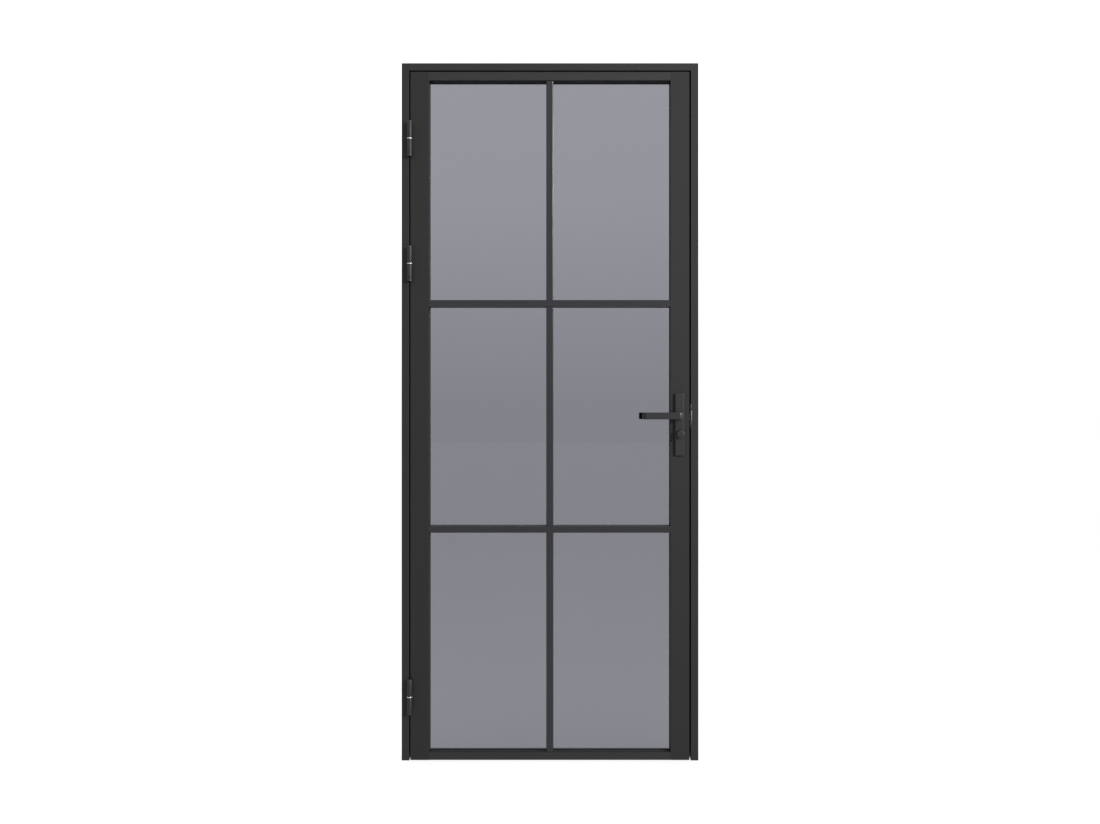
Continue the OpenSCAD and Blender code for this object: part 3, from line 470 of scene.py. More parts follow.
class Solid:
    """A closed mesh under construction, in metres and in the part's own place."""

    def __init__(self) -> None:
        """Starts with nothing."""
        self.mesh = bmesh.new()

    def tube(self, rings: Sequence[Sequence[Vector]], closed: bool = False) -> "Solid":
        """Joins rings of the same number of points into a shell.

        Args:
            rings: The rings, in order; a ring of one repeated point is a pole.
            closed: Whether the last ring joins the first, as in a ring; otherwise both ends are capped.

        Returns:
            This solid.
        """
        bm = self.mesh
        rows = [[bm.verts.new(point) for point in ring] for ring in rings]
        count = len(rows[0])
        pairs = list(zip(rows, rows[1:])) + ([(rows[-1], rows[0])] if closed else [])
        for first, second in pairs:
            for i in range(count):
                j = (i + 1) % count
                bm.faces.new((first[i], first[j], second[j], second[i]))
        if not closed:
            bm.faces.new(rows[0])
            bm.faces.new(rows[-1])
        return self

    def turned(self, profile: Sequence[tuple[float, float]], place: Matrix, steps: int = 48,
               ring: bool = False) -> "Solid":
        """Turns a profile of (radius, height) about the Z axis of `place`.

        Args:
            profile: The outline from one end to the other, or all round for a ring.
            place: Where the axis stands.
            steps: How many sides the round has.
            ring: Whether the profile closes on itself.

        Returns:
            This solid.
        """
        turns = [2 * math.pi * i / steps for i in range(steps)]
        rings = [[place @ Vector((r * math.cos(a), r * math.sin(a), h)) for a in turns] for r, h in profile]
        return self.tube(rings, closed=ring)

    def extruded(self, outline: Outline, place: Matrix, length: float, ease: float = 0.0) -> "Solid":
        """Extrudes an outline along the Z axis of `place`.

        Args:
            outline: The points of the section, about the axis.
            place: Where the section stands.
            length: How far it goes.
            ease: How much the rims at both ends are rounded.

        Returns:
            This solid.
        """
        reach = max(max(abs(u), abs(v)) for u, v in outline)
        levels = [(0.0, ease), (ease * 0.3, ease * 0.3), (ease, 0.0)] if ease else [(0.0, 0.0)]
        levels = levels + [(length - h, inset) for h, inset in reversed(levels)]
        rings = [[place @ Vector((u * (1 - inset / reach), v * (1 - inset / reach), h)) for u, v in outline]
                 for h, inset in levels]
        return self.tube(rings)

    def block(self, low: Vector, high: Vector, ease: float) -> "Solid":
        """A box with rounded edges, between two corners."""
        size = high - low
        place = Matrix.Translation((*((low + high) / 2).xy, low.z))
        return self.extruded(rounded_rectangle(size.x, size.y, ease, 2), place, size.z, ease)

    def swept(self, path: Sequence[Vector], section: Outline, ease: float) -> "Solid":
        """Carries a section along a path that stays level.

        Args:
            path: The points of the middle line.
            section: The section, across the path and up.
            ease: How much the rims at both ends are rounded.

        Returns:
            This solid.
        """
        rings = []
        last = len(path) - 1
        for i, point in enumerate(path):
            along = (path[min(i + 1, last)] - path[max(i - 1, 0)]).normalized()
            across = along.cross(Vector((0, 0, 1)))
            shrink = [1.0]
            if i in (0, last):
                shrink = [1 - ease / max(abs(u) for u, _ in section), 1.0][::1 if i == 0 else -1]
            for k, share in enumerate(shrink):
                inward = along * (ease if share == 1.0 and i in (0, last) else 0.0)
                middle = point + (inward if i == 0 else -inward)
                rings.append([middle + across * (u * share) + Vector((0, 0, v * share)) for u, v in section])
        return self.tube(rings)

    def piece(self, name: str, crease: float = 35.0) -> bpy.types.Object:
        """Closes the mesh into an object at the origin.

        Args:
            name: The piece's name.
            crease: The angle in degrees past which an edge stays sharp.

        Returns:
            The object, linked to the scene.
        """
        bm = self.mesh
        bmesh.ops.remove_doubles(bm, verts=bm.verts, dist=FINE_WELD)
        bmesh.ops.dissolve_degenerate(bm, edges=bm.edges, dist=FINE_WELD)
        bmesh.ops.recalc_face_normals(bm, faces=bm.faces)
        data = bpy.data.meshes.new(name)
        bm.to_mesh(data)
        bm.free()
        return link(name, data, crease)


def smooth(data: bpy.types.Mesh, crease: float) -> None:
    """Smooths the small faces of roundings and leaves large flat faces and sharp edges as they are."""
    if data.has_custom_normals:
        data.attributes.remove(data.attributes["custom_normal"])
    data.polygons.foreach_set("use_smooth", [True] * len(data.polygons))
    data.set_sharp_from_angle(angle=math.radians(crease))
    data.polygons.foreach_set("use_smooth", [face.area < FLAT_FACE for face in data.polygons])
    data.update()


def link(name: str, data: bpy.types.Mesh, crease: float = 35.0) -> bpy.types.Object:
    """Puts a mesh into the scene as a piece with smooth roundings."""
    smooth(data, crease)
    made = bpy.data.objects.new(name, data)
    bpy.context.scene.collection.objects.link(made)
    return made


def refined_copy(node: str, name: str, ease: float, longer_than: float = 0.0, steps: int = 2
                 ) -> bpy.types.Object:
    """Copies a CAD node, merges its loose triangles and rounds its edges.

    Args:
        node: The node to copy.
        name: The new piece's name.
        ease: The width of the rounding, or 0 for none.
        longer_than: The shortest edge that is rounded.
        steps: How many faces make the rounding.

    Returns:
        The copy.
    """
    bm = bmesh.new()
    bm.from_mesh(frame["nodes"][node].data)
    bmesh.ops.remove_doubles(bm, verts=bm.verts, dist=NODE_WELD)
    bmesh.ops.dissolve_degenerate(bm, edges=bm.edges, dist=NODE_SLIVER)
    bmesh.ops.dissolve_limit(bm, angle_limit=FLAT_BEND, verts=bm.verts, edges=bm.edges)
    if ease:
        sharp = [edge for edge in bm.edges
                 if len(edge.link_faces) == 2 and edge.calc_face_angle() > SHARP_BEND
                 and edge.calc_length() > longer_than]
        bmesh.ops.bevel(bm, geom=sharp, offset=ease, offset_type="OFFSET", segments=steps, profile=0.5,
                        affect="EDGES", clamp_overlap=True)
    data = bpy.data.meshes.new(name)
    bm.to_mesh(data)
    bm.free()
    return link(name, data)


def islands(node: str) -> list[Extent]:
    """The box of each separate solid in a CAD node."""
    bm = bmesh.new()
    bm.from_mesh(frame["nodes"][node].data)
    bmesh.ops.remove_doubles(bm, verts=bm.verts, dist=NODE_WELD)
    unseen = set(bm.verts)
    found = []
    for start in bm.verts:
        if start not in unseen:
            continue
        unseen.discard(start)
        front, group = [start], [start]
        while front:
            for edge in front.pop().link_edges:
                for vertex in edge.verts:
                    if vertex in unseen:
                        unseen.discard(vertex)
                        front.append(vertex)
                        group.append(vertex)
        corners = [vertex.co.copy() for vertex in group]
        low = Vector(min(c[i] for c in corners) for i in range(3))
        high = Vector(max(c[i] for c in corners) for i in range(3))
        found.append(Extent(low, high))
    bm.free()
    return found


def joint_named(name: str) -> dict[str, object]:
    """What the part's record says about one joint."""
    return next(joint for joint in frame["joints"] if joint["name"] == name)


def drum(radius: float, length: float, foot: Edge = ((0.0, 0.0),), rim: Edge = ((0.0, 0.0),)) -> Outline:
    """The profile of a drum with shaped edges.

    Args:
        radius: The drum's radius.
        length: The drum's length.
        foot: The inset and the height of each point of the near edge, outwards from the axis.
        rim: The inset and the depth of each point of the far edge, inwards to the axis.

    Returns:
        The profile from axis to axis, as (radius, height).
    """
    near = [(radius - inset, height) for inset, height in foot]
    far = [(radius - inset, length - depth) for inset, depth in rim]
    return [(0.0, 0.0), *near, *far, (0.0, length)]


def standing(point: Vector, axis: Vector) -> Matrix:
    """A place at `point` whose Z axis lies along `axis`."""
    return Matrix.Translation(point) @ axis.to_track_quat("Z", "Y").to_matrix().to_4x4()


# ---------------------------------------------------------------- geometry nodes


class Recipe(Tree):
    """A geometry node tree with named inputs, run on one object at a time."""

    def __init__(self, name: str, inputs: dict[str, tuple[str, object]]) -> None:
        """Starts the tree.

        Args:
            name: The tree's name.
            inputs: The type and the default of each named input.
        """
        super().__init__(bpy.data.node_groups.new(name, "GeometryNodeTree"))
        face = self.tree.interface
        face.new_socket("Geometry", in_out="INPUT", socket_type="NodeSocketGeometry")
        face.new_socket("Geometry", in_out="OUTPUT", socket_type="NodeSocketGeometry")
        for key, (kind, default) in inputs.items():
            made = face.new_socket(key, in_out="INPUT", socket_type=kind)
            if default is not None:
                made.default_value = default
        self.given = self.tree.nodes.new("NodeGroupInput")
        self.result = self.tree.nodes.new("NodeGroupOutput")

    def close(self, geometry: bpy.types.NodeSocket) -> None:
        """Ends the tree: real geometry, then its material."""
        real = self.node("GeometryNodeRealizeInstances", {}, {"Geometry": geometry})
        dressed = self.node("GeometryNodeSetMaterial", {},
                            {"Geometry": real.outputs[0], "Material": self.given.outputs["Material"]})
        self.tree.links.new(dressed.outputs[0], self.result.inputs["Geometry"])

    def run(self, name: str, start: bpy.types.Mesh, values: dict[str, object], crease: float = 35.0
            ) -> bpy.types.Object:
        """Runs the tree and bakes what it makes into a plain mesh.

        Args:
            name: The new piece's name.
            start: The mesh that the tree starts from.
            values: A value for each named input.
            crease: The angle in degrees past which an edge stays sharp.

        Returns:
            The piece.
        """
        seed = bpy.data.objects.new(name + "_start", start)
        bpy.context.scene.collection.objects.link(seed)
        modifier = seed.modifiers.new("Recipe", "NODES")
        modifier.node_group = self.tree
        sockets = {item.name: item.identifier for item in self.tree.interface.items_tree
                   if item.item_type == "SOCKET" and item.in_out == "INPUT"}
        for key, value in values.items():
            modifier[sockets[key]] = value
        seed.update_tag()
        bpy.context.view_layer.update()
        graph = bpy.context.evaluated_depsgraph_get()
        baked = bpy.data.objects.new(name, bpy.data.meshes.new_from_object(seed.evaluated_get(graph)))
        seed.modifiers.clear()
        bpy.data.objects.remove(seed)
        data = baked.data
        bpy.data.objects.remove(baked)
        for attribute in [a.name for a in data.attributes if a.name in ("outward", "sharp_edge")]:
            data.attributes.remove(data.attributes[attribute])
        return link(name, data, crease)


def dots(name: str, points: Iterable[Vector], outward: Iterable[Vector] = ()) -> bpy.types.Mesh:
    """A mesh of loose points, each with the direction that it faces in its "outward" attribute."""
    made = bpy.data.meshes.new(name)
    made.from_pydata([tuple(p) for p in points], [], [])
    facing = [tuple(v) for v in outward]
    if facing:
        layer = made.attributes.new("outward", "FLOAT_VECTOR", "POINT")
        layer.data.foreach_set("vector", [x for v in facing for x in v])
    return made


class ScrewDriver:
    """Sets one screw at every seat, each turned by its own angle."""

    def __init__(self) -> None:
        """Builds the tree."""
        recipe = Recipe("set_screws", {
            "Screw": ("NodeSocketObject", None),
            "Sink": ("NodeSocketFloat", 0.0),
            "Seed": ("NodeSocketInt", 4),
            "Material": ("NodeSocketMaterial", None),
        })
        given = recipe.given.outputs
        facing = recipe.node("GeometryNodeInputNamedAttribute", {"data_type": "FLOAT_VECTOR"},
                             {"Name": "outward"}).outputs[0]
        stood = recipe.node("FunctionNodeAlignRotationToVector", {"axis": "Z"}, {"Vector": facing})
        angle = recipe.node("FunctionNodeRandomValue", {"data_type": "FLOAT"},
                            {2: 0.0, 3: 2 * math.pi, "Seed": given["Seed"]})
        turn = recipe.node("FunctionNodeAxisAngleToRotation", {},
                           {"Axis": (0.0, 0.0, 1.0), "Angle": angle.outputs[1]})
        turned = recipe.node("FunctionNodeRotateRotation", {"rotation_space": "LOCAL"},
                             {0: stood.outputs[0], 1: turn.outputs[0]})
        down = recipe.node("ShaderNodeMath", {"operation": "MULTIPLY"}, {0: given["Sink"], 1: -1.0})
        offset = recipe.node("ShaderNodeVectorMath", {"operation": "SCALE"},
                             {0: facing, "Scale": down.outputs[0]})
        seats = recipe.node("GeometryNodeSetPosition", {},
                            {"Geometry": given["Geometry"], "Offset": offset.outputs[0]})
        screw = recipe.node("GeometryNodeObjectInfo", {"transform_space": "ORIGINAL"},
                            {"Object": given["Screw"]})
        placed = recipe.node("GeometryNodeInstanceOnPoints", {}, {
            "Points": seats.outputs[0], "Instance": screw.outputs["Geometry"],
            "Rotation": turned.outputs[0],
        })
        recipe.close(placed.outputs[0])
        self.recipe = recipe

    def set(self, name: str, screw: bpy.types.Object, seats: Sequence[tuple[Vector, Vector]],
            finish: Finish, sink: float, seed: int) -> bpy.types.Object:
        """Sets a screw at each seat.

        Args:
            name: The new piece's name.
            screw: The screw, head up, with its head's face at the origin.
            seats: The middle of each head and the way that it faces.
            finish: The screws' finish.
            sink: How far the heads go below their seats; less than 0 stands them proud.
            seed: What the turns of the heads are drawn from.

        Returns:
            All the screws as one piece.
        """
        start = dots(name + "_seats", [s for s, _ in seats], [o for _, o in seats])
        made = self.recipe.run(name, start, {"Screw": screw, "Sink": sink, "Seed": seed,
                                             "Material": finish.material()})
        bpy.data.objects.remove(screw)
        return made


class PaneGrid:
    """Repeats what surrounds one pane at every pane of the leaf."""

    def __init__(self) -> None:
        """Builds the tree."""
        recipe = Recipe("repeat_over_panes", {
            "Surround": ("NodeSocketObject", None),
            "Columns": ("NodeSocketInt", 2),
            "Rows": ("NodeSocketInt", 3),
            "Pitch Across": ("NodeSocketFloat", 0.4),
            "Pitch Up": ("NodeSocketFloat", 0.7),
            "Middle": ("NodeSocketVector", (0.0, 0.0, 0.0)),
            "Material": ("NodeSocketMaterial", None),
        })
        given = recipe.given.outputs

        def spread(count: bpy.types.NodeSocket, pitch: bpy.types.NodeSocket) -> bpy.types.NodeSocket:
            """The distance from the first to the last of `count` places, `pitch` apart."""
            gaps = recipe.node("ShaderNodeMath", {"operation": "SUBTRACT"}, {0: count, 1: 1.0})
            return recipe.node("ShaderNodeMath", {"operation": "MULTIPLY"}, {0: gaps.outputs[0], 1: pitch}
                               ).outputs[0]

        grid = recipe.node("GeometryNodeMeshGrid", {}, {
            "Size X": spread(given["Columns"], given["Pitch Across"]),
            "Size Y": spread(given["Rows"], given["Pitch Up"]),
            "Vertices X": given["Columns"], "Vertices Y": given["Rows"],
        })
        upright = recipe.node("GeometryNodeTransform", {}, {
            "Geometry": grid.outputs[0], "Rotation": (math.pi / 2, 0.0, 0.0),
            "Translation": given["Middle"],
        })
        surround = recipe.node("GeometryNodeObjectInfo", {"transform_space": "ORIGINAL"},
                               {"Object": given["Surround"]})
        placed = recipe.node("GeometryNodeInstanceOnPoints", {}, {
            "Points": upright.outputs[0], "Instance": surround.outputs["Geometry"],
        })
        recipe.close(placed.outputs[0])
        self.recipe = recipe

    def repeat(self, name: str, surround: bpy.types.Object, pitch: tuple[float, float], middle: Vector,
               finish: Finish) -> bpy.types.Object:
        """Repeats a piece that is built round the origin.

        Args:
            name: The new piece's name.
            surround: What surrounds one pane, with the pane's middle at the origin.
            pitch: The distance from pane to pane, across and up.
            middle: The middle of the whole grid.
            finish: The piece's finish.

        Returns:
            All the copies as one piece.
        """
        made = self.recipe.run(name, dots(name + "_dots", [Vector()]), {
            "Surround": surround, "Pitch Across": pitch[0], "Pitch Up": pitch[1],
            "Middle": tuple(middle), "Material": finish.material(),
        })
        bpy.data.objects.remove(surround)
        return made


class Coil:
    """Winds a round wire along X."""

    def __init__(self) -> None:
        """Builds the tree."""
        recipe = Recipe("wind_coil", {
            "Turns": ("NodeSocketFloat", 9.0),
            "Coil Radius": ("NodeSocketFloat", 0.003),
            "Wire Radius": ("NodeSocketFloat", 0.0005),
            "Length": ("NodeSocketFloat", 0.02),
            "Start": ("NodeSocketVector", (0.0, 0.0, 0.0)),
            "Material": ("NodeSocketMaterial", None),
        })
        given = recipe.given.outputs
        line = recipe.node("GeometryNodeCurveSpiral", {}, {
            "Resolution": 20, "Rotations": given["Turns"], "Start Radius": given["Coil Radius"],
            "End Radius": given["Coil Radius"], "Height": given["Length"],
        })
        lying = recipe.node("GeometryNodeTransform", {}, {
            "Geometry": line.outputs[0], "Rotation": (0.0, math.pi / 2, 0.0), "Translation": given["Start"],
        })
        wire = recipe.node("GeometryNodeCurvePrimitiveCircle", {},
                           {"Resolution": 8, "Radius": given["Wire Radius"]})
        tube = recipe.node("GeometryNodeCurveToMesh", {}, {
            "Curve": lying.outputs[0], "Profile Curve": wire.outputs[0], "Fill Caps": True,
        })
        recipe.close(tube.outputs[0])
        self.recipe = recipe

    def wind(self, name: str, space: Extent, wire: float, turns: float, finish: Finish) -> bpy.types.Object:
        """Winds a coil that fills a box from end to end.

        Args:
            name: The new piece's name.
            space: The box that the coil fills.
            wire: The radius of the wire.
            turns: How many times it goes round.
            finish: The wire's finish.

        Returns:
            The coil.
        """
        return self.recipe.run(name, dots(name + "_dots", [Vector()]), {
            "Turns": turns, "Coil Radius": space.size.z / 2 - wire, "Wire Radius": wire,
            "Length": space.size.x - 2 * wire,
            "Start": (space.low.x + wire, space.middle.y, space.middle.z), "Material": finish.material(),
        }, crease=60.0)


# ---------------------------------------------------------------- assemblies


@dataclass(frozen=True)
class Screw:
    """A countersunk screw with a hexagon socket; `sink` is how far its head goes below its seat."""

    head: float
    shank: float
    sink: float
    sides: int = 18

    def build(self, name: str, length: float) -> bpy.types.Object:
        """Builds the screw, its head's face at the origin and its shank downwards.

        Args:
            name: The screw's name.
            length: The length from the head's face to the tip.

        Returns:
            The screw.
        """
        head, shank = self.head, self.shank
        across = 0.42 * head
        turns = [2 * math.pi * i / self.sides for i in range(self.sides)]

        def hexagon(angle: float) -> float:
            """How far the socket reaches at an angle."""
            return across / math.cos((angle % (math.pi / 3)) - math.pi / 6)

        def circle(radius: float) -> Callable[[float], float]:
            """The same reach at every angle."""
            return lambda angle: radius

        levels = [(circle(0.0), -length), (circle(shank * 0.7), -length),
                  (circle(shank), -length + shank * 0.6), (circle(shank), -(head - shank) - 0.1 * head),
                  (circle(head), -0.12 * head), (circle(0.93 * head), 0.0), (hexagon, 0.0),
                  (hexagon, -0.5 * head), (circle(0.0), -0.62 * head)]
        rings = [[Vector((reach(a) * math.cos(a), reach(a) * math.sin(a), z)) for a in turns]
                 for reach, z in levels]
        return Solid().tube(rings).piece(name, crease=30.0)


@dataclass
class Assembly:
    """Pieces that are built and dressed together."""

    screws: ScrewDriver

    def keep(self, piece: bpy.types.Object, body: Body, slot: Slot, finish: Finish,
             stands_for: Sequence[str] = ()) -> bpy.types.Object:
        """Dresses a new piece, gives it its body and hides the nodes that it stands for.

        Args:
            piece: The new piece, in its place.
            body: What it moves with.
            slot: The part's material slot that it belongs to; not used.
            finish: What it is finished with.
            stands_for: The CAD nodes that it is shown instead of.

        Returns:
            The piece.
        """
        piece.data.materials.clear()
        piece.data.materials.append(finish.material())
        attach(piece, body.value)
        if stands_for:
            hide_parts(*stands_for)
        LOG.info("%s: %d faces on %s", piece.name, len(piece.data.polygons), body.value)
        return piece

    def add_screws(self, node: str, name: str, screw: Screw, way: Vector, body: Body, seed: int) -> None:
        """Sets a screw in the place of each solid of a CAD node.

        Args:
            node: The CAD node, one solid to a screw.
            name: The name of one screw.
            screw: The screws' sizes.
            way: The direction that the heads face.
            body: What the screws move with.
            seed: What the turns of the heads are drawn from.
        """
        spaces = islands(node)
        seats = [(space.middle + way * (abs(space.size.dot(way)) / 2), way) for space in spaces]
        one = screw.build(name, abs(spaces[0].size.dot(way)))
        made = self.screws.set(name + "_set", one, seats, BLACK_STEEL, screw.sink, seed)
        self.keep(made, body, Slot.BLACKENED, BLACK_STEEL, [node])

    def dress(self, finish: Finish, *nodes: str) -> None:
        """Gives CAD nodes that stay as they are their finish."""
        for node in nodes:
            data = frame["nodes"][node].data
            data.materials.clear()
            data.materials.append(finish.material())
            LOG.info("%s: finished as %s", node, finish.name)

    def copy(self, node: str, body: Body, slot: Slot, finish: Finish, ease: float,
             longer_than: float = 0.0) -> bpy.types.Object:
        """Stands a copy with rounded edges in the place of a CAD node."""
        made = refined_copy(node, node + "_piece", ease, longer_than)
        return self.keep(made, body, slot, finish, [node])


@dataclass
class FixedFrame(Assembly):
    """The two jambs, the head, their cleats and the seal in the rebate."""

    fold: float = 0.7 * MM
    fold_from: float = 90 * MM

    def build(self) -> None:
        """Builds the frame."""
        for node in ("hinge_jamb", "lock_jamb", "frame_head"):
            self.copy(node, Body.FRAME, Slot.FRAME, FRAME_COAT, self.fold, self.fold_from)
        for node in ("hinge_side_seal", "lock_side_seal", "head_seal"):
            self.copy(node, Body.FRAME, Slot.RUBBER, SEAL_RUBBER, 0.0)
        self.dress(CLEAT_METAL, "frame_corner_cleats")


@dataclass
class Leaf(Assembly):
    """The stiles, rails and glazing bars of the leaf."""

    fold: float = 0.8 * MM
    bar_fold: float = 0.7 * MM
    fold_from: float = 60 * MM

    def build(self) -> None:
        """Builds the leaf's metalwork."""
        uprights = [level + "_upright_bar" for level in ("top", "middle", "bottom")]
        cross_bars = [level + "_cross_bar" for level in ("upper", "lower")]
        for nodes, finish, fold in ((("hinge_stile", "lock_stile"), LEAF_COAT, self.fold),
                                    (("top_rail", "bottom_rail"), RAIL_COAT, self.fold),
                                    (uprights + cross_bars, BAR_COAT, self.bar_fold)):
            for node in nodes:
                self.copy(node, Body.LEAF, Slot.LEAF, finish, fold, self.fold_from)


@dataclass
class Glazing(Assembly):
    """The panes with their gaskets, beads, screws and setting blocks."""

    cover: float = 5 * MM
    lip: float = 0.9 * MM
    bead_face: float = 8 * MM
    bead_butt: float = 0.1 * MM
    bead_ease: float = 0.5 * MM
    arris: float = 0.6 * MM
    gasket_short: float = 0.2 * MM
    lip_steps: int = 6
    screw: Screw = Screw(3 * MM, 1.5 * MM, -0.15 * MM)
    tip_short: float = 1 * MM

    def build(self) -> None:
        """Builds everything that holds the glass, and the glass."""
        self.panes = {f"{row}_{column}_pane": extent_of(f"{row}_{column}_pane")
                      for row in ("bottom", "middle", "top") for column in ("left", "right")}
        for node in self.panes:
            self.copy(node, Body.LEAF, Slot.GLASS, GREY_GLASS, self.arris)
        first, last = self.panes["bottom_left_pane"], self.panes["top_right_pane"]
        beside, above = self.panes["bottom_right_pane"], self.panes["middle_left_pane"]
        self.pitch = (beside.low.x - first.low.x, above.low.z - first.low.z)
        self.middle = (first.low + last.high) / 2
        self.sight = (first.size.x - 2 * self.cover, first.size.z - 2 * self.cover)
        self.grid = PaneGrid()
        self.add_gaskets("front_gaskets")
        self.add_gaskets("back_gaskets")
        self.add_beads()
        self.add_bead_screws()
        self.dress(DARK_PLASTIC, "setting_blocks")

    def surround(self, name: str, outline: Outline) -> bpy.types.Object:
        """A mitred surround of one pane, about the origin.

        Args:
            name: The surround's name.
            outline: Its section, as (inward from the sight line, along Y).

        Returns:
            The surround.
        """
        rings = []
        for sx, sz in ((-1, -1), (1, -1), (1, 1), (-1, 1)):
            rings.append([Vector((sx * (self.sight[0] / 2 - u), y, sz * (self.sight[1] / 2 - u)))
                          for u, y in outline])
        return Solid().tube(rings, closed=True).piece(name)

    def add_gaskets(self, node: str) -> None:
        """Adds the wedge gaskets of one side, whose rounded lip shows beside the metal."""
        space = extent_of(node)
        middle_y, half = space.middle.y, space.size.y / 2
        buried = self.gasket_short - self.cover
        outline = [(buried, -half), (0.0, -half)]
        for step in range(1, self.lip_steps):
            angle = -math.pi / 2 + math.pi * step / self.lip_steps
            outline.append((self.lip * math.cos(angle), half * math.sin(angle)))
        outline += [(0.0, half), (buried, half)]
        made = self.grid.repeat(node + "_rings", self.surround(node + "_one", outline), self.pitch,
                                Vector((self.middle.x, middle_y, self.middle.z)), SEAL_RUBBER)
        self.keep(made, Body.LEAF, Slot.RUBBER, SEAL_RUBBER, [node])

    def add_beads(self) -> None:
        """Adds the beads that clamp the panes from the closing side, four round each pane."""
        space = extent_of("middle_beads")
        depth, face = space.size.y, self.bead_face
        wide, high = self.sight
        one = Solid()
        for side in (-1, 1):
            across = rounded_rectangle(depth, face, self.bead_ease)
            lying = Matrix(((0, 0, 1, -wide / 2 - face), (1, 0, 0, 0), (0, 1, 0, side * (high + face) / 2),
                            (0, 0, 0, 1)))
            one.extruded(across, lying, wide + 2 * face, self.bead_ease / 3)
            upright = rounded_rectangle(face, depth, self.bead_ease)
            stood = Matrix.Translation((side * (wide + face) / 2, 0.0, -high / 2 + self.bead_butt))
            one.extruded(upright, stood, high - 2 * self.bead_butt, self.bead_ease / 3)
        made = self.grid.repeat("glazing_beads", one.piece("bead_set"), self.pitch,
                                Vector((self.middle.x, space.middle.y, self.middle.z)), LEAF_COAT)
        self.keep(made, Body.LEAF, Slot.LEAF, LEAF_COAT, ["top_beads", "middle_beads", "bottom_beads"])

    def add_bead_screws(self) -> None:
        """Adds a countersunk screw at every seat in the beads, facing into its pane's opening."""
        middles = [pane.middle for pane in self.panes.values()]
        seats = []
        for space in islands("bead_screws"):
            here = space.middle
            pane = min(middles, key=lambda m: (m.x - here.x) ** 2 + (m.z - here.z) ** 2)
            axis = 0 if space.size.x > space.size.z else 2
            outward = Vector((0, 0, 0))
            outward[axis] = 1.0 if pane[axis] > here[axis] else -1.0
            seats.append((here + outward * space.size[axis] / 2, outward))
        longest = max(space.size.x, space.size.z) - self.tip_short
        made = self.screws.set("bead_screw_set", self.screw.build("bead_screw", longest), seats, BLACK_STEEL,
                               self.screw.sink, seed=7)
        self.keep(made, Body.LEAF, Slot.BLACKENED, BLACK_STEEL, ["bead_screws"])


@dataclass
class Hinge(Assembly):
    """The two knuckles of one lift-off barrel hinge; its bright washer and bright ends are built with the rest
    of the hinges' brightwork.
    """

    level: str = "upper"
    pin_radius: float = 4 * MM
    rim: float = 0.7 * MM
    bore_clear: float = 0.03 * MM
    foot_inset: float = 3 * MM
    foot_apart: float = 1.3 * MM
    foot_short: float = 3.6 * MM
    foot_ease: float = 0.5 * MM
    foot_share: float = 0.45
    steps: int = 56

    def build(self) -> None:
        """Builds the two knuckles."""
        self.axis = Vector((*joint_named("door_swing")["pos_m"][:2], 0.0))
        for part, body in (("frame", Body.FRAME), ("leaf", Body.LEAF)):
            self.add_knuckle(f"{self.level}_hinge_{part}_knuckle", body)

    def add_knuckle(self, node: str, body: Body) -> None:
        """Adds a turned barrel with the foot that is welded to its profile."""
        space = extent_of(node)
        radius = self.axis.y - space.low.y
        length, bore = space.size.z, self.pin_radius + self.bore_clear
        place = Matrix.Translation((self.axis.x, self.axis.y, space.low.z))
        made = Solid()
        edge = [(radius - self.rim, 0.0), (radius - 0.25 * self.rim, 0.22 * self.rim), (radius, self.rim)]
        far = [(r, length - h) for r, h in reversed(edge)]
        made.turned([(bore, 0.0), *edge, *far, (bore, length)], place, self.steps, ring=True)
        flank = radius - self.rim
        near, far = (-flank, -self.foot_short) if body is Body.FRAME else (self.foot_apart, flank)
        low = Vector((self.axis.x + near, self.axis.y + radius * self.foot_share,
                      space.low.z + self.foot_inset))
        high = Vector((self.axis.x + far, space.high.y, space.high.z - self.foot_inset))
        made.block(low, high, self.foot_ease)
        self.keep(made.piece(node + "_piece"), body, Slot.HINGE, HINGE_COAT, [node])


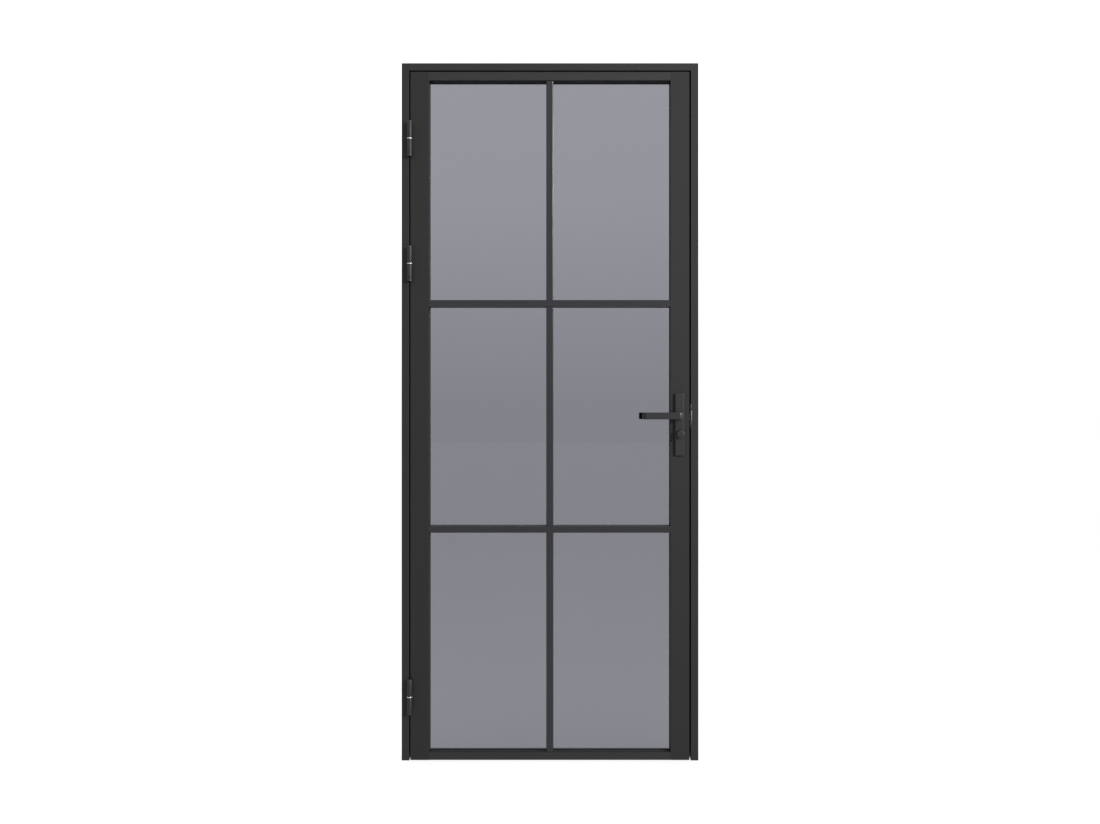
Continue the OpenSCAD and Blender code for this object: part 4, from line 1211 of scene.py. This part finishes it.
@dataclass
class HingeBrightwork(Assembly):
    """The bright washers, pins and end caps of all the hinges."""

    chamfer: float = 0.9 * MM
    disc_thick: float = 2.6 * MM
    dish: float = 0.5 * MM
    pin_radius: float = 4 * MM
    bore_clear: float = 0.02 * MM
    steps: int = 56

    def build(self) -> None:
        """Builds the bright pieces."""
        self.axis = Vector((*joint_named("door_swing")["pos_m"][:2], 0.0))
        self.add_washers()
        self.add_ends("hinge_caps", Body.LEAF, upwards=True)
        self.add_ends("hinge_pins", Body.FRAME, upwards=False)

    def add_washers(self) -> None:
        """Adds the three bearing washers, each with rolled rims."""
        made = Solid()
        for space in islands("hinge_washers"):
            radius, half = space.size.x / 2, space.size.z / 2
            inner = self.pin_radius + self.bore_clear
            rim = [(radius - 0.3 * half, -half), (radius, -0.5 * half), (radius, 0.5 * half),
                   (radius - 0.3 * half, half)]
            place = Matrix.Translation((self.axis.x, self.axis.y, space.middle.z))
            made.turned([(inner, -half), *rim, (inner, half)], place, self.steps, ring=True)
        self.keep(made.piece("hinge_washer_set"), Body.FRAME, Slot.BRIGHT, BRIGHT_STEEL, ["hinge_washers"])

    def add_ends(self, node: str, body: Body, upwards: bool) -> None:
        """Adds the pins or caps, whose wide end is a chamfered disc with a shallow dish.

        Args:
            node: The CAD node that they stand for.
            body: What they move with.
            upwards: Whether the wide end is on top.
        """
        made = Solid()
        for space in islands(node):
            radius, length = space.size.x / 2, space.size.z
            start = space.low.z if upwards else space.high.z
            place = Matrix.Translation((self.axis.x, self.axis.y, start)) @ Matrix.Diagonal(
                (1, 1, 1 if upwards else -1, 1))
            cut, disc, floor = self.chamfer, length - self.disc_thick, length - self.dish
            made.turned([(0.0, 0.0), (self.pin_radius, 0.0), (self.pin_radius, disc), (radius, disc),
                         (radius, length - cut), (radius - cut, length), (0.45 * radius, length),
                         (0.3 * radius, floor), (0.0, floor)], place, self.steps)
        self.keep(made.piece(node + "_set"), body, Slot.BRIGHT, CAP_STEEL, [node])


@dataclass
class Strike(Assembly):
    """The strike plate on the lock jamb, with its keep, dust box and screws."""

    plate_ease: float = 0.35 * MM
    keep_ease: float = 0.7 * MM
    eased_from: float = 1.2 * MM
    screw: Screw = Screw(3.5 * MM, 2 * MM, 0.05 * MM)

    def build(self) -> None:
        """Builds the strike."""
        self.copy("strike_plate", Body.FRAME, Slot.FURNITURE, FURNITURE_COAT, self.plate_ease,
                  self.eased_from)
        self.copy("strike_keep", Body.FRAME, Slot.BRIGHT, KEEP_STEEL, self.keep_ease, self.eased_from)
        self.dress(DARK_PLASTIC, "strike_dust_box")
        self.add_screws("strike_screws", "strike_screw", self.screw, Vector((-1, 0, 0)), Body.FRAME, seed=3)


@dataclass
class Lock(Assembly):
    """The mortise lock in the lock stile."""

    forend_ease: float = 0.35 * MM
    bolt_ease: float = 0.5 * MM
    forend_eased_from: float = 1.2 * MM
    bolt_eased_from: float = 1.5 * MM
    screw: Screw = Screw(3.7 * MM, 2 * MM, 0.05 * MM)
    wire_radius: float = 0.45 * MM
    coil_turns: float = 9.0

    def build(self) -> None:
        """Builds the lock."""
        self.copy("lock_forend", Body.LEAF, Slot.FURNITURE, FURNITURE_COAT, self.forend_ease,
                  self.forend_eased_from)
        for node, body in (("latch_bolt", Body.LATCH), ("dead_bolt", Body.BOLT)):
            self.copy(node, body, Slot.BRIGHT, BOLT_STEEL, self.bolt_ease, self.bolt_eased_from)
        self.dress(ZINC_STEEL, "lock_case", "lock_cover", "lever_follower", "turn_follower", "spindle")
        self.add_screws("forend_screws", "forend_screw", self.screw, Vector((1, 0, 0)), Body.LEAF, seed=5)
        self.add_spring()

    def add_spring(self) -> None:
        """Adds the spring behind the latch, wound to fill its space at rest."""
        space = extent_of("latch_spring")
        made = Coil().wind("latch_coil", space, self.wire_radius, self.coil_turns, BRIGHT_STEEL)
        self.keep(made, Body.LEAF, Slot.BRIGHT, BRIGHT_STEEL, ["latch_spring"])
        travel = max(joint_named("latch_slide")["range_m"])
        (space.size.x - travel) / space.size.x
        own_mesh(made)


@dataclass
class Furniture(Assembly):
    """The lever plates, levers, turn knob and release disc."""

    plate_chamfer: float = 2.0 * MM
    plate_corner: float = 2.2 * MM
    bar_thick: float = 10 * MM
    bar_tall: float = 20.5 * MM
    bar_round: float = 1.2 * MM
    inner_bend: float = 2 * MM
    collar_radius: float = 11.5 * MM
    shank_radius: float = 9 * MM
    collar_thick: float = 3 * MM
    collar_foot: Edge = ((0.4 * MM, 0.0), (0.0, 0.4 * MM))
    collar_rim: Edge = ((0.0, 1.0 * MM), (0.5 * MM, 0.35 * MM), (1.2 * MM, 0.0))
    gap: float = 0.3 * MM
    plate_foot: float = 0.3 * MM
    least_corner: float = 0.6 * MM
    neck_sunk: float = 0.5 * MM
    bar_ease: float = 0.8 * MM
    return_gap: float = 20 * MM
    bend_steps: int = 12
    knob_foot: Edge = ((2.2 * MM, 0.0), (2.2 * MM, 1.6 * MM), (0.7 * MM, 2.4 * MM), (0.0, 3.2 * MM))
    knob_rim: Edge = ((0.0, 2.2 * MM), (0.35 * MM, 1.1 * MM), (1.1 * MM, 0.35 * MM), (2.2 * MM, 0.0),
                      (2.6 * MM, 0.0))
    shaft_radius: float = 6 * MM
    shaft_length: float = 24 * MM
    disc_set: float = 1 * MM
    disc_rim: float = 0.5 * MM
    slot_half: tuple[float, float] = (5.4 * MM, 1 * MM)
    slot_depth: float = 1.5 * MM
    slot_over: float = 1 * MM
    slot_ease: float = 0.2 * MM
    bolt: Screw = Screw(4.6 * MM, 2.5 * MM, -0.15 * MM)

    def build(self) -> None:
        """Builds the furniture of both sides."""
        for side, name in ((Side.OPENING, "front"), (Side.CLOSING, "back")):
            self.add_plate(name + "_plate", side)
            self.add_lever(name + "_lever", side)
        self.add_knob()
        self.add_disc()
        self.add_screws("plate_bolts", "plate_bolt", self.bolt, Vector((0, 1, 0)), Body.LEAF, seed=2)
        self.dress(ZINC_STEEL, "grub_screws")

    def add_plate(self, node: str, side: Side) -> None:
        """Adds a lever plate with a rounded chamfer all round its face."""
        space = extent_of(node)
        size, away = space.size, side.value
        cut = self.plate_chamfer
        foot = space.high.y if side is Side.OPENING else space.low.y
        levels = [(0.0, self.plate_foot), (self.plate_foot, 0.0), (size.y - cut, 0.0),
                  (size.y - 0.93 * cut, 0.1 * cut),
                  (size.y - 0.12 * cut, 0.9 * cut), (size.y, 1.15 * cut), (size.y, 1.5 * cut)]
        rings = []
        for height, inset in levels:
            outline = rounded_rectangle(size.x - 2 * inset, size.z - 2 * inset,
                                        max(self.plate_corner - 0.5 * inset, self.least_corner), 5)
            rings.append([Vector((space.middle.x + u, foot + away * height, space.middle.z + v))
                          for u, v in outline])
        made = Solid().tube(rings).piece(node + "_piece", crease=30.0)
        self.keep(made, Body.LEAF, Slot.FURNITURE, FURNITURE_COAT, [node])

    def add_lever(self, node: str, side: Side) -> None:
        """Adds a lever of flat bar, bent to the plate at one end and back to the leaf at the other."""
        space = extent_of(node)
        away = side.value
        face = space.low.y if side is Side.OPENING else space.high.y
        plate = extent_of(node.replace("lever", "plate"))
        plate_face = plate.low.y if side is Side.OPENING else plate.high.y
        axis = plate.middle.x
        high = space.middle.z
        half = self.bar_thick / 2
        bend = self.inner_bend + half
        middle_y = face - away * half
        neck_y = plate_face + away * (self.gap + self.collar_thick)
        end_y = (plate.high.y if side is Side.OPENING else plate.low.y) + away * self.return_gap
        near, far = axis, space.low.x + half
        path = [Vector((near, neck_y - away * self.neck_sunk, high))]
        path += self.bend(Vector((near - bend, middle_y - away * bend, high)), bend, away, 0.0)
        path += self.bend(Vector((far + bend, middle_y - away * bend, high)), bend, away, 90.0)
        path += [Vector((far, end_y, high))]
        section = rounded_rectangle(self.bar_thick, self.bar_tall, self.bar_round)
        made = Solid().swept(path, section, self.bar_ease)
        place = standing(Vector((axis, plate_face + away * self.gap, high)), Vector((0, away, 0)))
        made.turned(drum(self.collar_radius, self.collar_thick, self.collar_foot, self.collar_rim), place)
        back = standing(Vector((axis, plate_face + away * self.gap, high)), Vector((0, -away, 0)))
        reach = abs(plate.size.y) + self.gap
        made.turned(drum(self.shank_radius, reach), back)
        self.keep(made.piece(node + "_piece"), Body.LEVERS, Slot.FURNITURE, FURNITURE_COAT, [node])

    def bend(self, centre: Vector, radius: float, away: int, start: float) -> list[Vector]:
        """The points of a quarter bend in a level bar.

        Args:
            centre: The middle of the bend.
            radius: The radius of the bar's middle line.
            away: The sign of the direction away from the leaf.
            start: The angle in degrees at which the bend starts.

        Returns:
            The points, in order.
        """
        angles = [math.radians(start + 90 * i / self.bend_steps) for i in range(self.bend_steps + 1)]
        return [centre + Vector((radius * math.cos(a), away * radius * math.sin(a), 0.0)) for a in angles]

    def add_knob(self) -> None:
        """Adds the turn knob: a drum with a softly rounded face and a waist where it meets the plate."""
        space = extent_of("turn_knob")
        plate = extent_of("front_plate")
        radius, axis_x, high = space.size.x / 2, space.middle.x, space.middle.z
        tall = plate.low.y - self.gap - space.low.y
        place = standing(Vector((axis_x, plate.low.y - self.gap, high)), Vector((0, -1, 0)))
        made = Solid().turned(drum(radius, tall, self.knob_foot, self.knob_rim), place)
        back = standing(Vector((axis_x, plate.low.y - self.gap, high)), Vector((0, 1, 0)))
        made.turned(drum(self.shaft_radius, self.shaft_length), back)
        self.keep(made.piece("turn_knob_piece", crease=30.0), Body.TURN, Slot.FURNITURE, FURNITURE_COAT,
                  ["turn_knob"])

    def add_disc(self) -> None:
        """Adds the release disc on the closing side, with its coin slot."""
        space = extent_of("release_disc")
        plate = extent_of("back_plate")
        radius, face = space.size.x / 2, space.high.y
        centre = space.middle
        foot = plate.low.y + self.disc_set
        place = standing(Vector((centre.x, foot, centre.z)), Vector((0, 1, 0)))
        rim = ((0.0, self.disc_rim), (self.disc_rim, 0.0))
        disc = Solid().turned(drum(radius, face - foot, rim=rim), place).piece("release_disc_piece")
        long, wide = self.slot_half
        slot = Solid().block(Vector((centre.x - long, face - self.slot_depth, centre.z - wide)),
                             Vector((centre.x + long, face + self.slot_over, centre.z + wide)), self.slot_ease)
        carve(disc, slot.piece("coin_slot"))
        self.keep(disc, Body.TURN, Slot.ZINC, BOLT_STEEL, ["release_disc"])


def carve(piece: bpy.types.Object, cutter: bpy.types.Object) -> None:
    """Cuts one closed piece out of another, and removes the cutter."""
    modifier = piece.modifiers.new("Carve", "BOOLEAN")
    modifier.operation = "DIFFERENCE"
    modifier.solver = "EXACT"
    modifier.object = cutter
    bpy.context.view_layer.update()
    graph = bpy.context.evaluated_depsgraph_get()
    data = bpy.data.meshes.new_from_object(piece.evaluated_get(graph))
    piece.modifiers.clear()
    piece.data = data
    smooth(data, CARVED_CREASE)
    bpy.data.objects.remove(cutter)


# ---------------------------------------------------------------- studio


@dataclass
class Studio:
    """Plain pale floor, soft light and the camera."""

    camera_distance: float = 2.9
    camera_height: float = 1.0568
    view_width: float = 3.336
    floor_size: float = 60.0
    key_power: float = 2600.0
    key_size: float = 1.5
    key_place: tuple[float, float, float] = (8.6, -7.48, 4.8)
    sensor: float = 36.0
    sky_strength: float = 2.0
    sky: Edge = ((0.0, 0.5), (0.5, 0.5), (0.56, 0.592), (0.605, 0.658), (0.66, 0.68), (1.0, 0.8))

    def build(self) -> None:
        """Builds the floor, the lights and the camera."""
        bpy.context.scene.view_settings.view_transform = "Standard"
        self.add_floor()
        self.add_sky()
        self.add_lamp("key_light", self.key_place, self.key_size, self.key_power)
        self.add_camera()

    def add_floor(self) -> None:
        """Lays the floor under the door."""
        half = self.floor_size / 2
        data = bpy.data.meshes.new("floor")
        data.from_pydata([(-half, -half, 0), (half, -half, 0), (half, half, 0), (-half, half, 0)], [],
                         [(0, 1, 2, 3)])
        floor = bpy.data.objects.new("floor", data)
        bpy.context.scene.collection.objects.link(floor)
        data.materials.append(PaleFloor().material())
        self.floor = floor

    def add_sky(self) -> None:
        """Surrounds the scene with soft white light that grows a little stronger upwards."""
        world = bpy.data.worlds.new("soft_room")
        world.use_nodes = True
        bpy.context.scene.world = world
        shader = Shader(world.node_tree)
        direction = shader.signal("ShaderNodeTexCoord", {}, {}, "Generated")
        height = shader.signal("ShaderNodeSeparateXYZ", {}, {0: direction}, "Z")
        level = shader.signal("ShaderNodeValToRGB", {"stops": self.sky}, {"Fac": height * 0.5 + 0.5})
        background = shader.node("ShaderNodeBackground", {}, {"Color": (1.0, 1.0, 1.0, 1.0),
                                                             "Strength": level * self.sky_strength})
        shader.node("ShaderNodeOutputWorld", {}, {"Surface": Signal(shader, background.outputs[0])})

    def add_lamp(self, name: str, place: Sequence[float], size: float, power: float) -> None:
        """Adds a square soft light that faces the middle of the door."""
        data = bpy.data.lights.new(name, "AREA")
        data.shape = "SQUARE"
        data.size = size
        data.energy = power
        lamp = bpy.data.objects.new(name, data)
        lamp.location = place
        aim = Vector((0.0, 0.0, PART_BOX[1].z / 2)) - lamp.location
        lamp.rotation_euler = aim.to_track_quat("-Z", "Y").to_euler()
        bpy.context.scene.collection.objects.link(lamp)
        lamp.visible_transmission = False
        unlit = bpy.data.collections.new(name + "_off")
        unlit.objects.link(self.floor)
        unlit.collection_objects[0].light_linking.link_state = "EXCLUDE"
        lamp.light_linking.receiver_collection = unlit

    def add_camera(self) -> None:
        """Stands the camera squarely in front of the leaf."""
        data = bpy.data.cameras.new("camera")
        data.sensor_width = self.sensor
        data.lens = data.sensor_width * self.camera_distance / self.view_width
        camera = bpy.data.objects.new("camera", data)
        front = extent_of("hinge_stile").low.y
        camera.location = (0.0, front - self.camera_distance, self.camera_height)
        camera.rotation_euler = (math.pi / 2, 0.0, 0.0)
        bpy.context.scene.collection.objects.link(camera)
        bpy.context.scene.camera = camera


def main() -> None:
    """Builds the door, piece by piece, and the studio round it."""
    logging.basicConfig(level=logging.INFO, format="%(message)s")
    screws = ScrewDriver()
    Studio().build()
    FixedFrame(screws).build()
    Leaf(screws).build()
    Glazing(screws).build()
    for level in ("upper", "middle", "lower"):
        Hinge(screws, level=level).build()
    HingeBrightwork(screws).build()
    Strike(screws).build()
    Lock(screws).build()
    Furniture(screws).build()


if __name__ == "__main__":
    main()
